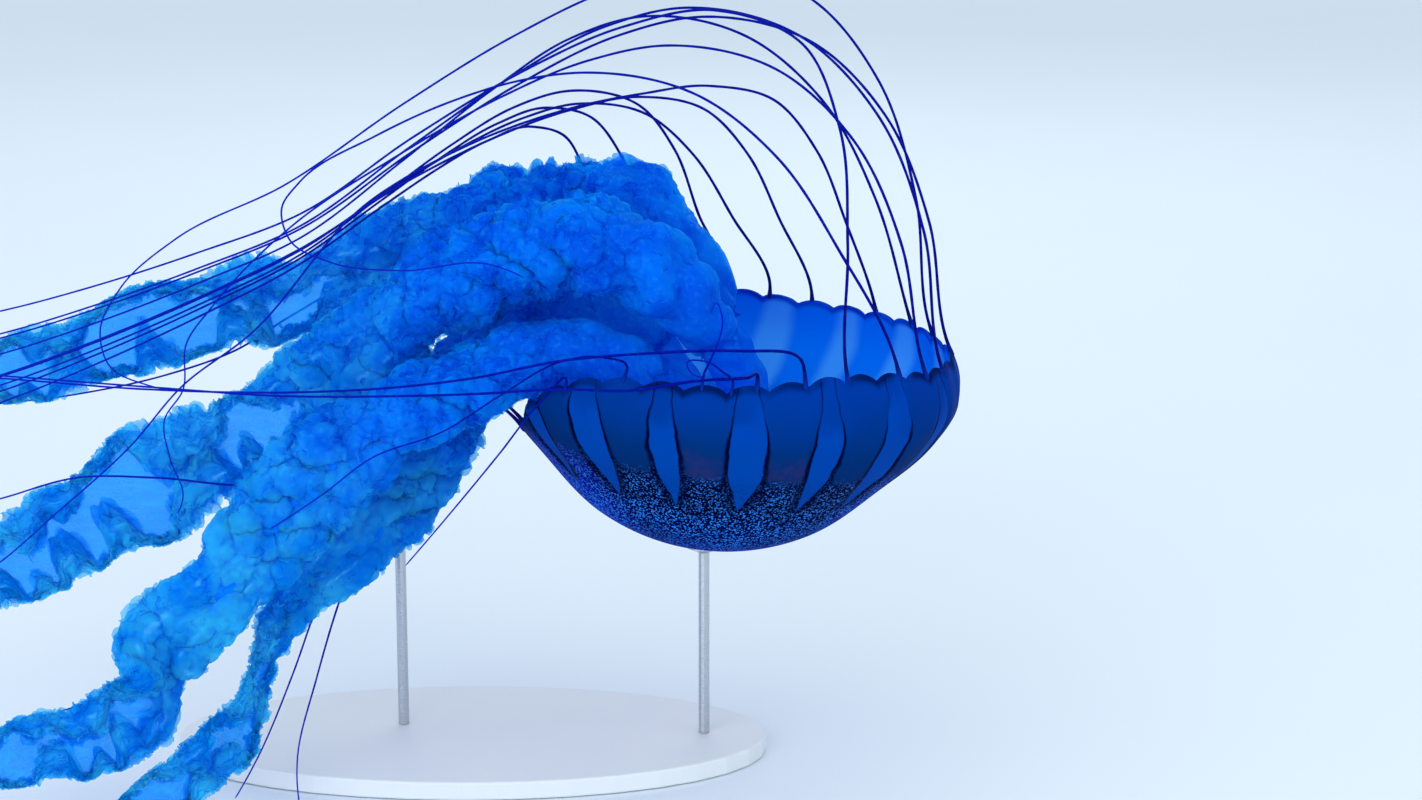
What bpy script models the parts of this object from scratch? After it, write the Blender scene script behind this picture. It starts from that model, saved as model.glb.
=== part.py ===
"""A sea nettle jellyfish at life size, drifting with its bell apex down, on a plain display stand.

Metres, +Z up. The origin is the middle of the stand base's underside. Shapes of the animal are
given from the apex of the bell, in millimetres, and turned to metres in one place.
"""

import bmesh
import bpy
import math

import numpy as np
from mathutils import Matrix, Vector
from mathutils.bvhtree import BVHTree

MM = 0.001
GAP = 0.4 * MM                     # the clearance between pieces that touch

# ---- the stand
BASE_HALF_LENGTH = 0.190           # the oval base plate
BASE_HALF_DEPTH = 0.095
BASE_THICKNESS = 0.012
BASE_EDGE_ROUND = 0.0015
ROD_RADIUS = 0.0035
PAD_RADIUS = 0.012                 # the small round pad on top of each rod
PAD_THICKNESS = 0.003

# ---- the bell
APEX = Vector((0.150, 0.0, 0.141))
BELL_RADIUS = 0.151
BELL_LEAN = math.radians(6.0)      # the open side leans towards +X
BELL_THICKNESS = 0.012             # jelly at the apex
MARGIN_THICKNESS_FACTOR = 0.2      # how much of that is left at the rim
BELL_COLUMNS = 48
DOME_RINGS = 6
MARGIN_COLUMNS = 108
MARGIN_RINGS = 2
MARGIN_START = 0.80                # where the dome ends and the margin begins, along the meridian
MARGIN_GAP = 0.0015                # the same as a share of the meridian
LAPPETS = 36
LAPPET_DEPTH = 0.023               # a share of the meridian
LEFT_DIP = 0.36                    # the margin hangs lower under the arms that cross it
LEFT_DIP_WIDTH = math.radians(40.0)
LEFT_DIP_POWER = 2.6
FRONT_RISE = 0.045                 # and stands higher just right of the near side
FRONT_RISE_AT = math.radians(301.0)
FRONT_RISE_WIDTH = math.radians(25.0)
RIGHT_RISE = 0.03
# Radius and height of the outer surface, as shares of the bell radius, from apex to rim.
MERIDIAN = [(0.0, 0.0), (0.25, 0.031), (0.49, 0.138), (0.73, 0.358), (0.93, 0.585), (1.0, 0.74), (0.965, 0.90)]

# ---- the mouth stalk, a turned shape: radius and height above the apex along the bell's axis
STALK_FOOT_RADIUS = 0.022
STALK_NECK_RADIUS = 0.016
STALK_LIP_RADIUS = 0.021
STALK_TOP = 0.046

# ---- the four oral arms: name, middle line and half width, in mm from the apex
ARM_LINES = {
    "upper": [
        (19, 14, 46.5, 8), (28, 22, 86, 15), (12, 30, 134, 16), (-16, 38, 180, 28), (-48, 40, 211, 35),
        (-82, 42, 208, 35), (-130, 44, 202, 37), (-168, 42, 189, 35), (-210, 38, 170, 37),
        (-252, 36, 155, 26), (-287, 36, 149, 34), (-322, 34, 140, 26), (-354, 32, 132, 32),
        (-385, 28, 123, 25), (-418, 24, 113, 28), (-449, 20, 105, 21), (-487, 17, 93, 16),
        (-526, 14, 83, 10), (-560, 12, 78, 4),
    ],
    "middle": [
        (19, -12, 46.5, 8), (28, -21, 86, 15), (10, -34, 134, 16), (-20, -45, 178, 28),
        (-64, -48, 202, 35), (-117, -50, 198, 35), (-165, -48, 173, 37), (-205, -40, 139, 33),
        (-245, -26, 107, 34), (-283, -12, 80, 27), (-319, -8, 57, 38), (-353, -6, 38, 43),
        (-384, -10, 21, 32), (-412, -14, 6, 37), (-441, -20, -11, 29), (-475, -26, -25, 20),
        (-509, -32, -34, 12), (-534, -38, -37, 4),
    ],
    "lower": [
        (-5, 14, 48.8, 8), (-6, 22, 84, 9), (-18, 32, 106, 14), (-48, 38, 130, 23), (-90, 36, 133, 30),
        (-127, 33, 122, 30), (-157, 31, 94, 32), (-175, 16, 59, 34), (-193, -8, 31, 33),
        (-217, -34, 11, 30), (-249, -51, -16, 24), (-268, -80, -38, 20), (-274, -108, -60, 19),
        (-282, -136, -80, 25), (-303, -162, -95, 22), (-328, -180, -104, 14), (-349, -190, -110, 4),
    ],
    "outer": [
        (-5, -12, 48.8, 8), (-6, -24, 84, 9), (-18, -38, 106, 14), (-48, -50, 126, 21),
        (-96, -58, 138, 24), (-134, -77, 125, 28), (-173, -90, 111, 30), (-211, -99, 88, 34),
        (-245, -104, 60, 37), (-272, -108, 28, 34), (-299, -120, -2, 30), (-332, -124, -34, 34),
        (-339, -136, -63, 32), (-370, -150, -80, 27), (-405, -162, -84, 24), (-435, -178, -89, 15),
        (-459, -192, -98, 4),
    ],
}
ARM_SIDES = 10
ARM_STEP = 0.020                   # between sections
ARM_FRILL_LOBES = 3                # the section is a rounded three-lobed frill that turns slowly
ARM_FRILL_HEIGHT = 0.10
ARM_FRILL_TURN = 9.0               # radians a metre
ARM_PART_AT = 0.45                 # where each arm is parted into two lengths
ARM_FLAT = 0.65                    # its level half width over the other, from where the ribbon lies flat
ARM_FLAT_FROM, ARM_FLAT_BY = 0.42, 0.62

# ---- the tentacles
TENTACLE_RADIUS = 0.0012           # at the root
TENTACLE_TIP_RADIUS = 0.0005
LONGEST_STEP = 0.070               # between points of a tentacle
SHARPEST_TURN = math.radians(21.0)
BUNDLE_DEPTH = 0.13                # where arches run together, their depths there over those at the top
BUNDLE_RISE = 0.18                 # mm of height there for each degree round the rim
BUNDLE_STAGGER = 4.0               # mm, to one side and the other in turn
ARRIVE = Vector((-0.82, 0.0, -0.57))
ROOT_RUN = 0.006                   # a tentacle's first stretch, square to the rim's edge
# Long ones that arch up and over: angle on the rim (0 at the back, clockwise from above), the top
# of the arch, how upright it leaves the rim (0 straight at the top, 1 straight up), and its tail.
ARCHES = [
    (0, (-86, 46, 283), 0.25, "stream"),
    (24, (-42, 66, 276), 0.30, "stream"),
    (12, (-80, 76, 270), 0.30, "stream"),
    (44, (4, 60, 284), 0.35, "diagonal"),
    (58, (-40, 40, 331), 0.60, "stream"),
    (72, (-2, 20, 363), 0.75, "wide_loop"),
    (92, (0, 4, 336), 0.75, "stream"),
    (110, (-12, -14, 344), 0.80, "stream"),
    (121, (-22, -36, 324), 0.75, "drop"),
    (132, (-73, -66, 312), 0.40, "hook_back"),
    (149, (6, -54, 348), 0.75, "stream"),
    (-30, (-112, 94, 252), 0.20, "stream"),
    (-16, (-102, 84, 266), 0.25, "stream"),
]
# Tails, the first point of each being where its arch comes down, in mm from the apex.
TAILS = {
    "stream": [(-247, -50, 204), (-309, -50, 175), (-373, -46, 148), (-436, -42, 125), (-500, -40, 108),
               (-565, -42, 94)],
    "diagonal": [(-204, -56, 231), (-276, -76, 153), (-321, -64, 117), (-354, -62, 79), (-403, -64, 35),
                 (-437, -68, 6), (-475, -72, -17)],
    "wide_loop": [(-254, -64, 243), (-321, -66, 210), (-356, -68, 179), (-368, -72, 154), (-363, -74, 133),
                  (-339, -76, 121), (-319, -78, 118)],
    "drop": [(-247, -80, 222), (-299, -80, 170), (-314, -82, 149), (-317, -84, 120), (-329, -84, 101),
             (-326, -86, 77), (-319, -86, 53), (-323, -86, 42)],
    "hook_back": [(-243, -84, 248), (-253, -88, 234), (-248, -94, 215), (-224, -100, 203), (-181, -106, 199),
                  (-127, -108, 203), (-107, -104, 194)],
}
# Ones that leave the rim on the near side or under the arms, each along its own line.
WINDING = {
    161: [(54, -147, 157), (22, -150, 160), (-37, -132, 154), (-87, -122, 147), (-135, -130, 139),
          (-189, -136, 134), (-244, -134, 131), (-336, -114, 128), (-428, -94, 130), (-509, -80, 131)],
    173: [(26, -151, 144), (-2, -154, 143), (-44, -150, 136), (-86, -143, 135), (-134, -146, 133),
          (-188, -148, 132), (-243, -144, 131), (-334, -124, 132), (-426, -104, 134), (-494, -92, 135)],
    256: [(-146, -30, 106), (-182, -36, 92), (-226, -58, 68), (-280, -60, 54), (-340, -52, 56),
          (-390, -52, 56), (-440, -52, 42), (-500, -48, 28)],
    268: [(-148, -10, 106), (-188, -30, 72), (-228, -56, 32), (-262, -76, 6), (-293, -94, -36),
          (-340, -92, -60), (-390, -100, -78), (-440, -104, -92)],
    296: [(-130, 76, 110), (-162, 86, 88), (-198, 84, 48), (-228, 66, 2), (-248, 30, -42),
          (-262, -30, -80), (-276, -96, -110), (-286, -140, -123)],
    307: [(-118, 96, 112), (-156, 104, 86), (-190, 104, 44), (-218, 84, -4), (-236, 48, -46),
          (-248, -20, -86), (-252, -100, -112), (-246, -146, -123)],
    318: [(-104, 106, 126), (-134, 108, 144), (-180, 104, 156), (-226, 96, 150), (-270, 88, 128),
          (-306, 84, 106), (-352, 80, 90), (-410, 76, 78), (-480, 74, 70), (-540, 70, 64)],
}
SHORT = {
    179: [(12, -138, 144), (2, -131, 149), (-10, -130, 148), (-8, -131, 143), (2, -133, 140)],
    186: [(4, -142, 152), (11, -136, 178), (8, -137, 186), (4, -140, 180)],
    205: [(-60, -124, 150), (-86, -120, 146), (-120, -122, 127), (-156, -136, 107), (-197, -147, 94),
          (-226, -152, 73), (-258, -154, 52)],
    220: [(-98, -114, 120), (-123, -114, 88), (-150, -121, 56), (-180, -130, 22)],
}

# ---- colours: base colour, roughness, metallic
DARK_JELLY = ((0.001, 0.022, 0.22), 0.35, 0.0)
RIM_JELLY = ((0.001, 0.040, 0.36), 0.35, 0.0)
FRILL_JELLY = ((0.004, 0.25, 0.80), 0.45, 0.0)
TENTACLE_BLUE = ((0.002, 0.010, 0.36), 0.40, 0.0)
STAND_METAL = ((0.55, 0.57, 0.60), 0.35, 1.0)
STAND_PAINT = ((0.80, 0.81, 0.82), 0.50, 0.0)


def clear_scene():
    for old in list(bpy.data.objects):
        bpy.data.objects.remove(old, do_unlink=True)


def new_collection(name):
    collection = bpy.data.collections.new(name)
    bpy.context.scene.collection.children.link(collection)
    return collection


def material(name, finish):
    colour, roughness, metallic = finish
    made = bpy.data.materials.new(name)
    made.use_nodes = True
    shader = made.node_tree.nodes["Principled BSDF"]
    shader.inputs["Base Color"].default_value = (*colour, 1.0)
    shader.inputs["Roughness"].default_value = roughness
    shader.inputs["Metallic"].default_value = metallic
    return made


def smooth_line(points, step=None, count=None):
    """Points at equal distances along a smooth curve through the given ones, in any dimension."""
    points = np.array(points, dtype=float)
    place = np.concatenate([[0.0], np.cumsum(np.linalg.norm(np.diff(points[:, :3], axis=0), axis=1))])
    slopes = np.gradient(points, place, axis=0, edge_order=2 if len(points) > 2 else 1)
    fine = []
    for i in range(len(points) - 1):
        span = place[i + 1] - place[i]
        for t in np.linspace(0.0, 1.0, 24, endpoint=False):
            start = (2 * t**3 - 3 * t**2 + 1) * points[i] + (t**3 - 2 * t**2 + t) * span * slopes[i]
            end = (3 * t**2 - 2 * t**3) * points[i + 1] + (t**3 - t**2) * span * slopes[i + 1]
            fine.append(start + end)
    fine = np.array(fine + [points[-1]])
    along = np.concatenate([[0.0], np.cumsum(np.linalg.norm(np.diff(fine[:, :3], axis=0), axis=1))])
    number = count or max(4, int(round(along[-1] / step)) + 1)
    wanted = np.linspace(0.0, along[-1], number)
    return np.stack([np.interp(wanted, along, fine[:, k]) for k in range(fine.shape[1])], axis=1)


def from_apex(point_mm):
    return APEX + Vector(point_mm[:3]) * MM


# ------------------------------------------------------------------ the bell
BELL_FRAME = Matrix.Translation(APEX) @ Matrix.Rotation(BELL_LEAN, 4, "Y")
MERIDIAN_LINE = smooth_line(MERIDIAN, count=200) * BELL_RADIUS


def rim_share(angle):
    """How far up the full meridian the rim lies at this angle, measured from +X, anticlockwise."""
    turn = angle % (2 * math.pi)
    dip = LEFT_DIP * math.exp(-((abs(turn - math.pi) / LEFT_DIP_WIDTH) ** LEFT_DIP_POWER))
    front = FRONT_RISE * math.exp(-(((turn - FRONT_RISE_AT) / FRONT_RISE_WIDTH) ** 2))
    return 1.0 - dip + front + RIGHT_RISE * max(0.0, math.cos(angle)) ** 2


def lappet_share(angle):
    return LAPPET_DEPTH * (abs(math.sin(angle * LAPPETS / 2)) ** 0.7 - 1.0)


def bell_point(angle, share, inward=0.0):
    """A point of the outer surface, or one below it, in the bell's own frame."""
    place = min(max(share, 0.0), 1.10) * (len(MERIDIAN_LINE) - 1)
    low = min(int(place), len(MERIDIAN_LINE) - 2)
    step = MERIDIAN_LINE[low + 1] - MERIDIAN_LINE[low]
    radius, height = MERIDIAN_LINE[low] + (place - low) * step
    along = step / np.linalg.norm(step)
    radius, height = radius - inward * along[1], height + inward * along[0]
    return Vector((radius * math.cos(angle), radius * math.sin(angle), height))


def closed_loft(name, rings):
    """A closed mesh through rings of points; a ring of one point closes an end."""
    mesh = bmesh.new()
    rows = [[mesh.verts.new(point) for point in ring] for ring in rings]
    for low, high in zip(rows, rows[1:] + rows[:1]):
        size = max(len(low), len(high))
        for i in range(size):
            after = (i + 1) % size
            if len(low) == 1 and len(high) > 1:
                mesh.faces.new((low[0], high[after], high[i]))
            elif len(high) == 1 and len(low) > 1:
                mesh.faces.new((low[i], low[after], high[0]))
            elif len(low) > 1:
                mesh.faces.new((low[i], low[after], high[after], high[i]))
    bmesh.ops.recalc_face_normals(mesh, faces=mesh.faces)
    data = bpy.data.meshes.new(name)
    mesh.to_mesh(data)
    mesh.free()
    data.shade_smooth()
    return bpy.data.objects.new(name, data)


def bell_shell(name, columns, ring_shares):
    """A closed piece of the bell: rings up the outer surface and back down the inner one.

    ring_shares gives, for an angle, how far along the meridian each ring lies.
    """
    outer, inner = [], []
    angles = [2 * math.pi * column / columns for column in range(columns)]
    for number in range(len(ring_shares(0.0))):
        shares = [ring_shares(angle)[number] for angle in angles]
        if shares[0] == 0.0:
            outer.append([bell_point(0.0, 0.0)])
            inner.append([bell_point(0.0, 0.0, jelly_thickness(0.0))])
            continue
        outer.append([bell_point(angle, share) for angle, share in zip(angles, shares)])
        inner.append([
            bell_point(angle, share, jelly_thickness(share / rim_share(angle)))
            for angle, share in zip(angles, shares)
        ])
    shell = closed_loft(name, outer + inner[::-1])
    shell.matrix_world = BELL_FRAME
    return shell


def dome_shares(angle):
    top = MARGIN_START * rim_share(angle) - MARGIN_GAP
    return [top * (ring / DOME_RINGS) ** 0.8 for ring in range(DOME_RINGS + 1)]


def margin_shares(angle):
    low = MARGIN_START * rim_share(angle) + MARGIN_GAP
    high = rim_share(angle) + lappet_share(angle)
    return [low + (high - low) * ring / MARGIN_RINGS for ring in range(MARGIN_RINGS + 1)]


def jelly_thickness(share):
    """Thick jelly over the stomach, thin towards the rim."""
    return BELL_THICKNESS * (MARGIN_THICKNESS_FACTOR + (1.0 - MARGIN_THICKNESS_FACTOR) * (1.0 - share**1.6))


def make_bell():
    dome = bell_shell("bell_dome", BELL_COLUMNS, dome_shares)
    dome.data.materials.append(material("bell_dome", DARK_JELLY))
    margin = bell_shell("bell_margin", MARGIN_COLUMNS, margin_shares)
    margin.data.materials.append(material("bell_margin", RIM_JELLY))
    return [dome, margin]


def make_stalk():
    """The mouth stalk: a profile turned round the bell's axis, from its lip down to its foot."""
    # The dome's first ring of facets is straight, so the foot is a flat cone just above it.
    first_ring = dome_shares(0.0)[1]
    middle = bell_point(0.0, 0.0, jelly_thickness(0.0))
    ring = bell_point(0.0, first_ring, jelly_thickness(first_ring / rim_share(0.0)))
    foot_middle = middle.z + 2 * GAP
    foot_edge = foot_middle + (ring.z - middle.z) * STALK_FOOT_RADIUS / ring.x
    outline = [
        (0.0, STALK_TOP), (STALK_LIP_RADIUS, STALK_TOP), (STALK_LIP_RADIUS, STALK_TOP - 0.006),
        (STALK_NECK_RADIUS, STALK_TOP - 0.018), (STALK_FOOT_RADIUS, foot_edge + 0.004),
        (STALK_FOOT_RADIUS, foot_edge), (0.0, foot_middle),
    ]
    return turned("mouth_stalk", outline, 16, FRILL_JELLY, BELL_FRAME)


def turned(name, outline, steps, finish, place):
    """A piece turned round the Z axis of its place, from an outline of radii and heights."""
    profile = bpy.data.meshes.new(name)
    edges = [(i, i + 1) for i in range(len(outline) - 1)]
    profile.from_pydata([(radius, 0.0, height) for radius, height in outline], edges, [])
    profile.materials.append(material(name, finish))
    piece = bpy.data.objects.new(name, profile)
    piece.matrix_world = place
    turn = piece.modifiers.new("turn", "SCREW")
    turn.axis = "Z"
    turn.steps = turn.render_steps = steps
    turn.use_merge_vertices = True
    turn.merge_threshold = 0.0001
    turn.use_smooth_shade = True
    return piece


# ------------------------------------------------------------------ the oral arms
def frame_along(line, index):
    """Two directions across a line at one of its points, the first as level as it can be."""
    ahead = line[min(index + 1, len(line) - 1)] - line[max(index - 1, 0)]
    ahead = Vector(ahead[:3]).normalized()
    level = ahead.cross(Vector((0.0, 0.0, 1.0)))
    if level.length < 0.2:
        level = ahead.cross(Vector((1.0, 0.0, 0.0)))
    level.normalize()
    return level, level.cross(ahead)


def flatness(share):
    """The level half width of an arm over its upright one, at a share of its length."""
    step = min(1.0, max(0.0, (share - ARM_FLAT_FROM) / (ARM_FLAT_BY - ARM_FLAT_FROM)))
    return 1.0 - (1.0 - ARM_FLAT) * step * step * (3.0 - 2.0 * step)


def arm_length(name, line, start, end):
    """One length of an arm: lobed sections lofted along the part of the line from start to end."""
    rings = [[Vector(line[start][:3])]]
    for index in range(start, end + 1):
        # The whole line is used for the directions, so that the two lengths meet face to face.
        level, upward = frame_along(line, index)
        centre = Vector(line[index][:3])
        if index == start and start > 0:
            centre += level.cross(upward).normalized() * -GAP
            rings = [[centre]]
        turn = ARM_FRILL_TURN * ARM_STEP * index
        flat = flatness(index / (len(line) - 1))
        ring = []
        for side in range(ARM_SIDES):
            angle = 2 * math.pi * side / ARM_SIDES
            swell = 1.0 + ARM_FRILL_HEIGHT * math.cos(ARM_FRILL_LOBES * angle + turn)
            across = level * math.cos(angle) * flat + upward * math.sin(angle)
            ring.append(centre + across * line[index][3] * swell)
        rings.append(ring)
    rings.append([centre])
    arm = closed_loft(name, rings)
    arm.data.materials.append(material(name, FRILL_JELLY))
    return arm


def make_arms():
    arms = []
    for name, points in ARM_LINES.items():
        line = smooth_line([(*from_apex(p), p[3] * MM) for p in points], step=ARM_STEP)
        parting = int(round(ARM_PART_AT * (len(line) - 1)))
        arms.append(arm_length(f"arm_{name}_near", line, 0, parting))
        arms.append(arm_length(f"arm_{name}_far", line, parting, len(line) - 1))
    return arms


# ------------------------------------------------------------------ the tentacles
def rim_root(clock_degrees):
    """Where a tentacle leaves the rim, and the direction of the rim's edge there."""
    angle = math.radians(90.0 - clock_degrees)
    edge = rim_share(angle) + lappet_share(angle)
    half_wall = BELL_THICKNESS * MARGIN_THICKNESS_FACTOR / 2
    root = BELL_FRAME @ bell_point(angle, edge, half_wall)
    below = BELL_FRAME @ bell_point(angle, edge - 0.03, half_wall)
    outward = (root - below).normalized()
    return root + outward * 3 * GAP, outward


def arch_points(clock_degrees, top_mm, upright, landing):
    """Guide points over the top of the arch to where it comes down, after those at the rim."""
    root, outward = rim_root(clock_degrees)
    start = root + outward * ROOT_RUN
    top = from_apex(top_mm)
    climb = (top - start).length
    fall = (top - landing).length
    leave = (top - start).normalized().lerp(Vector((0.10, 0.0, 1.0)), upright).normalized()
    level = Vector((landing.x - top.x, landing.y - top.y, 0.0)).normalized()
    rise = bezier(start, leave * 0.42 * climb, level * 0.42 * climb, top, 4)
    descent = bezier(top, level * 0.24 * fall, ARRIVE * 0.42 * fall, landing, 4)
    return rise + descent


def bezier(start, leave, arrive, end, count):
    """Points on one cubic arc, after its start, given its end directions as handle lengths."""
    handle_a, handle_b = start + leave, end - arrive
    found = []
    for i in range(1, count + 1):
        t = i / count
        found.append(
            start * (1 - t) ** 3 + handle_a * 3 * t * (1 - t) ** 2
            + handle_b * 3 * t**2 * (1 - t) + end * t**3
        )
    return found


def tail_points(kind, clock_degrees, top_mm, side):
    """Guide points of a tail. In the stream the arches keep their order, and then fan out."""
    if kind != "stream":
        return [from_apex(point) for point in TAILS[kind]]
    depth = top_mm[1] * BUNDLE_DEPTH + side * BUNDLE_STAGGER
    across = Vector((0.0, depth, (clock_degrees - 45.0) * BUNDLE_RISE))
    return [
        from_apex(Vector(point) + across * (1.0 + 0.3 * number))
        for number, point in enumerate(TAILS[kind])
    ]


def thinned(line):
    """Fewer points where the line runs straight, and more where it bends."""
    kept = [0]
    ahead = np.gradient(line, axis=0)
    ahead /= np.linalg.norm(ahead, axis=1)[:, None]
    for i in range(1, len(line) - 1):
        turned_by = math.acos(min(1.0, float(ahead[i] @ ahead[kept[-1]])))
        if turned_by > SHARPEST_TURN or np.linalg.norm(line[i] - line[kept[-1]]) > LONGEST_STEP:
            kept.append(i)
    return line[kept + [len(line) - 1]]


def tube(name, points, root_radius, tip_radius):
    """A tapered tube with closed ends, as a curve with a bevel."""
    curve = bpy.data.curves.new(name, "CURVE")
    curve.dimensions = "3D"
    curve.bevel_depth = 1.0
    curve.bevel_resolution = 1
    curve.use_fill_caps = True
    curve.materials.append(material(name, TENTACLE_BLUE))
    spline = curve.splines.new("POLY")
    spline.points.add(len(points) - 1)
    along = np.concatenate([[0.0], np.cumsum(np.linalg.norm(np.diff(points, axis=0), axis=1))])
    for knot, point, share in zip(spline.points, points, along / along[-1]):
        knot.co = (*point, 1.0)
        knot.radius = root_radius + (tip_radius - root_radius) * share
    return bpy.data.objects.new(name, curve)


def rooted_line(clock_degrees, guides):
    """A tentacle's whole line. It leaves the rim square to its edge, through its guide points."""
    root, outward = rim_root(clock_degrees)
    line = thinned(smooth_line([root, root + outward * ROOT_RUN] + guides, step=0.004))
    return np.insert(line, 1, root + outward * ROOT_RUN / 2, axis=0)


def two_lengths(number, line):
    """One long tentacle as a base length and a tail length, parted by a thin cut."""
    half = len(line) // 2
    middle = (TENTACLE_RADIUS + TENTACLE_TIP_RADIUS) / 2
    base, tail = line[: half + 1].copy(), line[half:].copy()
    ahead = tail[1] - tail[0]
    tail[0] += ahead / np.linalg.norm(ahead) * 2 * GAP
    return [
        tube(f"tentacle_{number:02d}_base", base, TENTACLE_RADIUS, middle),
        tube(f"tentacle_{number:02d}_tail", tail, middle, TENTACLE_TIP_RADIUS),
    ]


def make_tentacles():
    lines = []
    for number, (clock, top, upright, kind) in enumerate(ARCHES):
        tail = tail_points(kind, clock, top, (-1) ** number)
        lines.append(rooted_line(clock, arch_points(clock, top, upright, tail[0]) + tail[1:]))
    for clock, route in WINDING.items():
        lines.append(rooted_line(clock, [from_apex(point) for point in route]))
    tentacles = []
    for number, line in enumerate(lines, start=1):
        tentacles += two_lengths(number, line)
    for number, (clock, route) in enumerate(SHORT.items(), start=len(lines) + 1):
        line = rooted_line(clock, [from_apex(point) for point in route])
        tentacles.append(tube(f"tentacle_{number:02d}", line, 0.7 * TENTACLE_RADIUS, TENTACLE_TIP_RADIUS))
    return tentacles


# ------------------------------------------------------------------ the stand
def height_over(target, x, y, reach):
    """The lowest height at which anything of the target hangs over a small disc."""
    evaluated = target.evaluated_get(bpy.context.evaluated_depsgraph_get())
    mesh = evaluated.to_mesh()
    tree = BVHTree.FromPolygons(
        [target.matrix_world @ v.co for v in mesh.vertices], [p.vertices for p in mesh.polygons]
    )
    heights = []
    for ring in (0.0, 0.5, 1.0):
        for turn in range(16):
            angle = 2 * math.pi * turn / 16
            start = Vector((x + ring * reach * math.cos(angle), y + ring * reach * math.sin(angle), 0.0))
            hit = tree.ray_cast(start, Vector((0.0, 0.0, 1.0)))[0]
            if hit:
                heights.append(hit.z)
    evaluated.to_mesh_clear()
    return min(heights)


def make_rod(name, target, x, y):
    """A rod with a pad on top, turned as one piece, up to just under its target."""
    top = height_over(target, x, y, PAD_RADIUS) - GAP
    bottom = BASE_THICKNESS + GAP
    outline = [
        (0.0, top), (PAD_RADIUS - 0.001, top), (PAD_RADIUS, top - 0.001), (PAD_RADIUS, top - PAD_THICKNESS),
        (ROD_RADIUS, top - PAD_THICKNESS - 0.004), (ROD_RADIUS, bottom), (0.0, bottom),
    ]
    return turned(name, outline, 12, STAND_METAL, Matrix.Translation((x, y, 0.0)))


def make_base():
    bpy.ops.mesh.primitive_cylinder_add(
        vertices=36, radius=1.0, depth=BASE_THICKNESS, location=(0.0, 0.0, BASE_THICKNESS / 2)
    )
    base = bpy.context.object
    base.name = base.data.name = "stand_base"
    base.data.transform(Matrix.Diagonal((BASE_HALF_LENGTH, BASE_HALF_DEPTH, 1.0, 1.0)))
    rounding = base.modifiers.new("edges", "BEVEL")
    rounding.width = BASE_EDGE_ROUND
    rounding.segments = 2
    rounding.limit_method = "ANGLE"
    base.data.materials.append(material("stand_base", STAND_PAINT))
    return base


def main():
    clear_scene()
    parts = new_collection("jellyfish")
    pieces = make_bell() + [make_stalk()] + make_arms() + make_tentacles()
    for piece in pieces:
        parts.objects.link(piece)
    bpy.context.view_layer.update()
    named = {piece.name: piece for piece in pieces}
    base = make_base()
    for old in list(base.users_collection):
        old.objects.unlink(base)
    rods = [
        make_rod("stand_rod_bell", named["bell_dome"], APEX.x, APEX.y),
        make_rod("stand_rod_arms", named["arm_lower_far"], APEX.x - 0.196, APEX.y + 0.018),
    ]
    for piece in [base] + rods:
        parts.objects.link(piece)


main()
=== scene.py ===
# %% [markdown]
# # A sea nettle, hanging apex down on a display stand
#
# A sea nettle is almost all water: a thin bell, four long ruffled arms that grow from the mouth in
# its middle, and a ring of threads round its rim. This lesson builds the looks of one, life size,
# round a fixed frame of plain solids. The frame says where everything is; each step here makes the
# fine surface that a plain solid stands in for, and gives it a finish made of shader nodes.
#
# The first cell loads the frame, and gives a way to measure the box round any of its plain solids.

# %% load the frame
import itertools
import math

import bmesh
import bpy
import numpy as np
from mathutils import Matrix, Vector


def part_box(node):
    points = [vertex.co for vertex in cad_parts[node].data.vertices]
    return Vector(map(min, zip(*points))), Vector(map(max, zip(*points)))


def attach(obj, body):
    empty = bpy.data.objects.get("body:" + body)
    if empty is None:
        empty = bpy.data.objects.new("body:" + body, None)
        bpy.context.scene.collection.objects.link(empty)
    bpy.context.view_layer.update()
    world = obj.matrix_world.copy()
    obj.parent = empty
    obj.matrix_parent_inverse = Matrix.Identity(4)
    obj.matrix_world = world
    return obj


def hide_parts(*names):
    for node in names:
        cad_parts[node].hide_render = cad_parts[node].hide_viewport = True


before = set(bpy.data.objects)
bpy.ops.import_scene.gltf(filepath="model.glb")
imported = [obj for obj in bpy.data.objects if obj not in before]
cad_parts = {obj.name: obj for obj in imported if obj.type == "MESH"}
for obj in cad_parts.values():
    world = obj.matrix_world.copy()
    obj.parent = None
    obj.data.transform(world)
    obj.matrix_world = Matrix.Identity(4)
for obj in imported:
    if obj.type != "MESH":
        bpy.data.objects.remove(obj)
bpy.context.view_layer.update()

# %% [markdown]
# Every soft shape is laid out from one point, the apex of the bell. Its height is the lowest point
# of the dome in the frame, and its place over the base is the middle of the rod that stands under
# it. Lengths that belong to the animal's plan are written in millimetres from there.

# %% the apex of the bell
MM = 0.001
rod_low, rod_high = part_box("stand_rod_bell")
apex_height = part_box("bell_dome")[0].z
APEX = Vector(((rod_low.x + rod_high.x) / 2, (rod_low.y + rod_high.y) / 2, apex_height))


def from_apex(point_mm):
    return np.array(APEX) + np.array(point_mm[:3], dtype=float) * MM


print("apex", [round(value, 4) for value in APEX])

# %% [markdown]
# ## Camera, floor and light
#
# The camera looks a little down on the bell, from far enough away that the near rim and the far
# rim are almost the same size. It is set by the point that it aims at, its distance and how wide a
# field it takes in there.

# %% camera
CAMERA_DISTANCE = 2.3
CAMERA_DROP = math.radians(14.0)
FIELD_WIDTH = 0.910
AIM_FROM_APEX = Vector((0.0045, 0.0232, 0.0871))


def add_object(name, data):
    """A new object with that data, linked to the scene."""
    made = bpy.data.objects.new(name, data)
    bpy.context.scene.collection.objects.link(made)
    return made


def look_along(made, direction):
    made.rotation_euler = direction.to_track_quat("-Z", "Y").to_euler()


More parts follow.
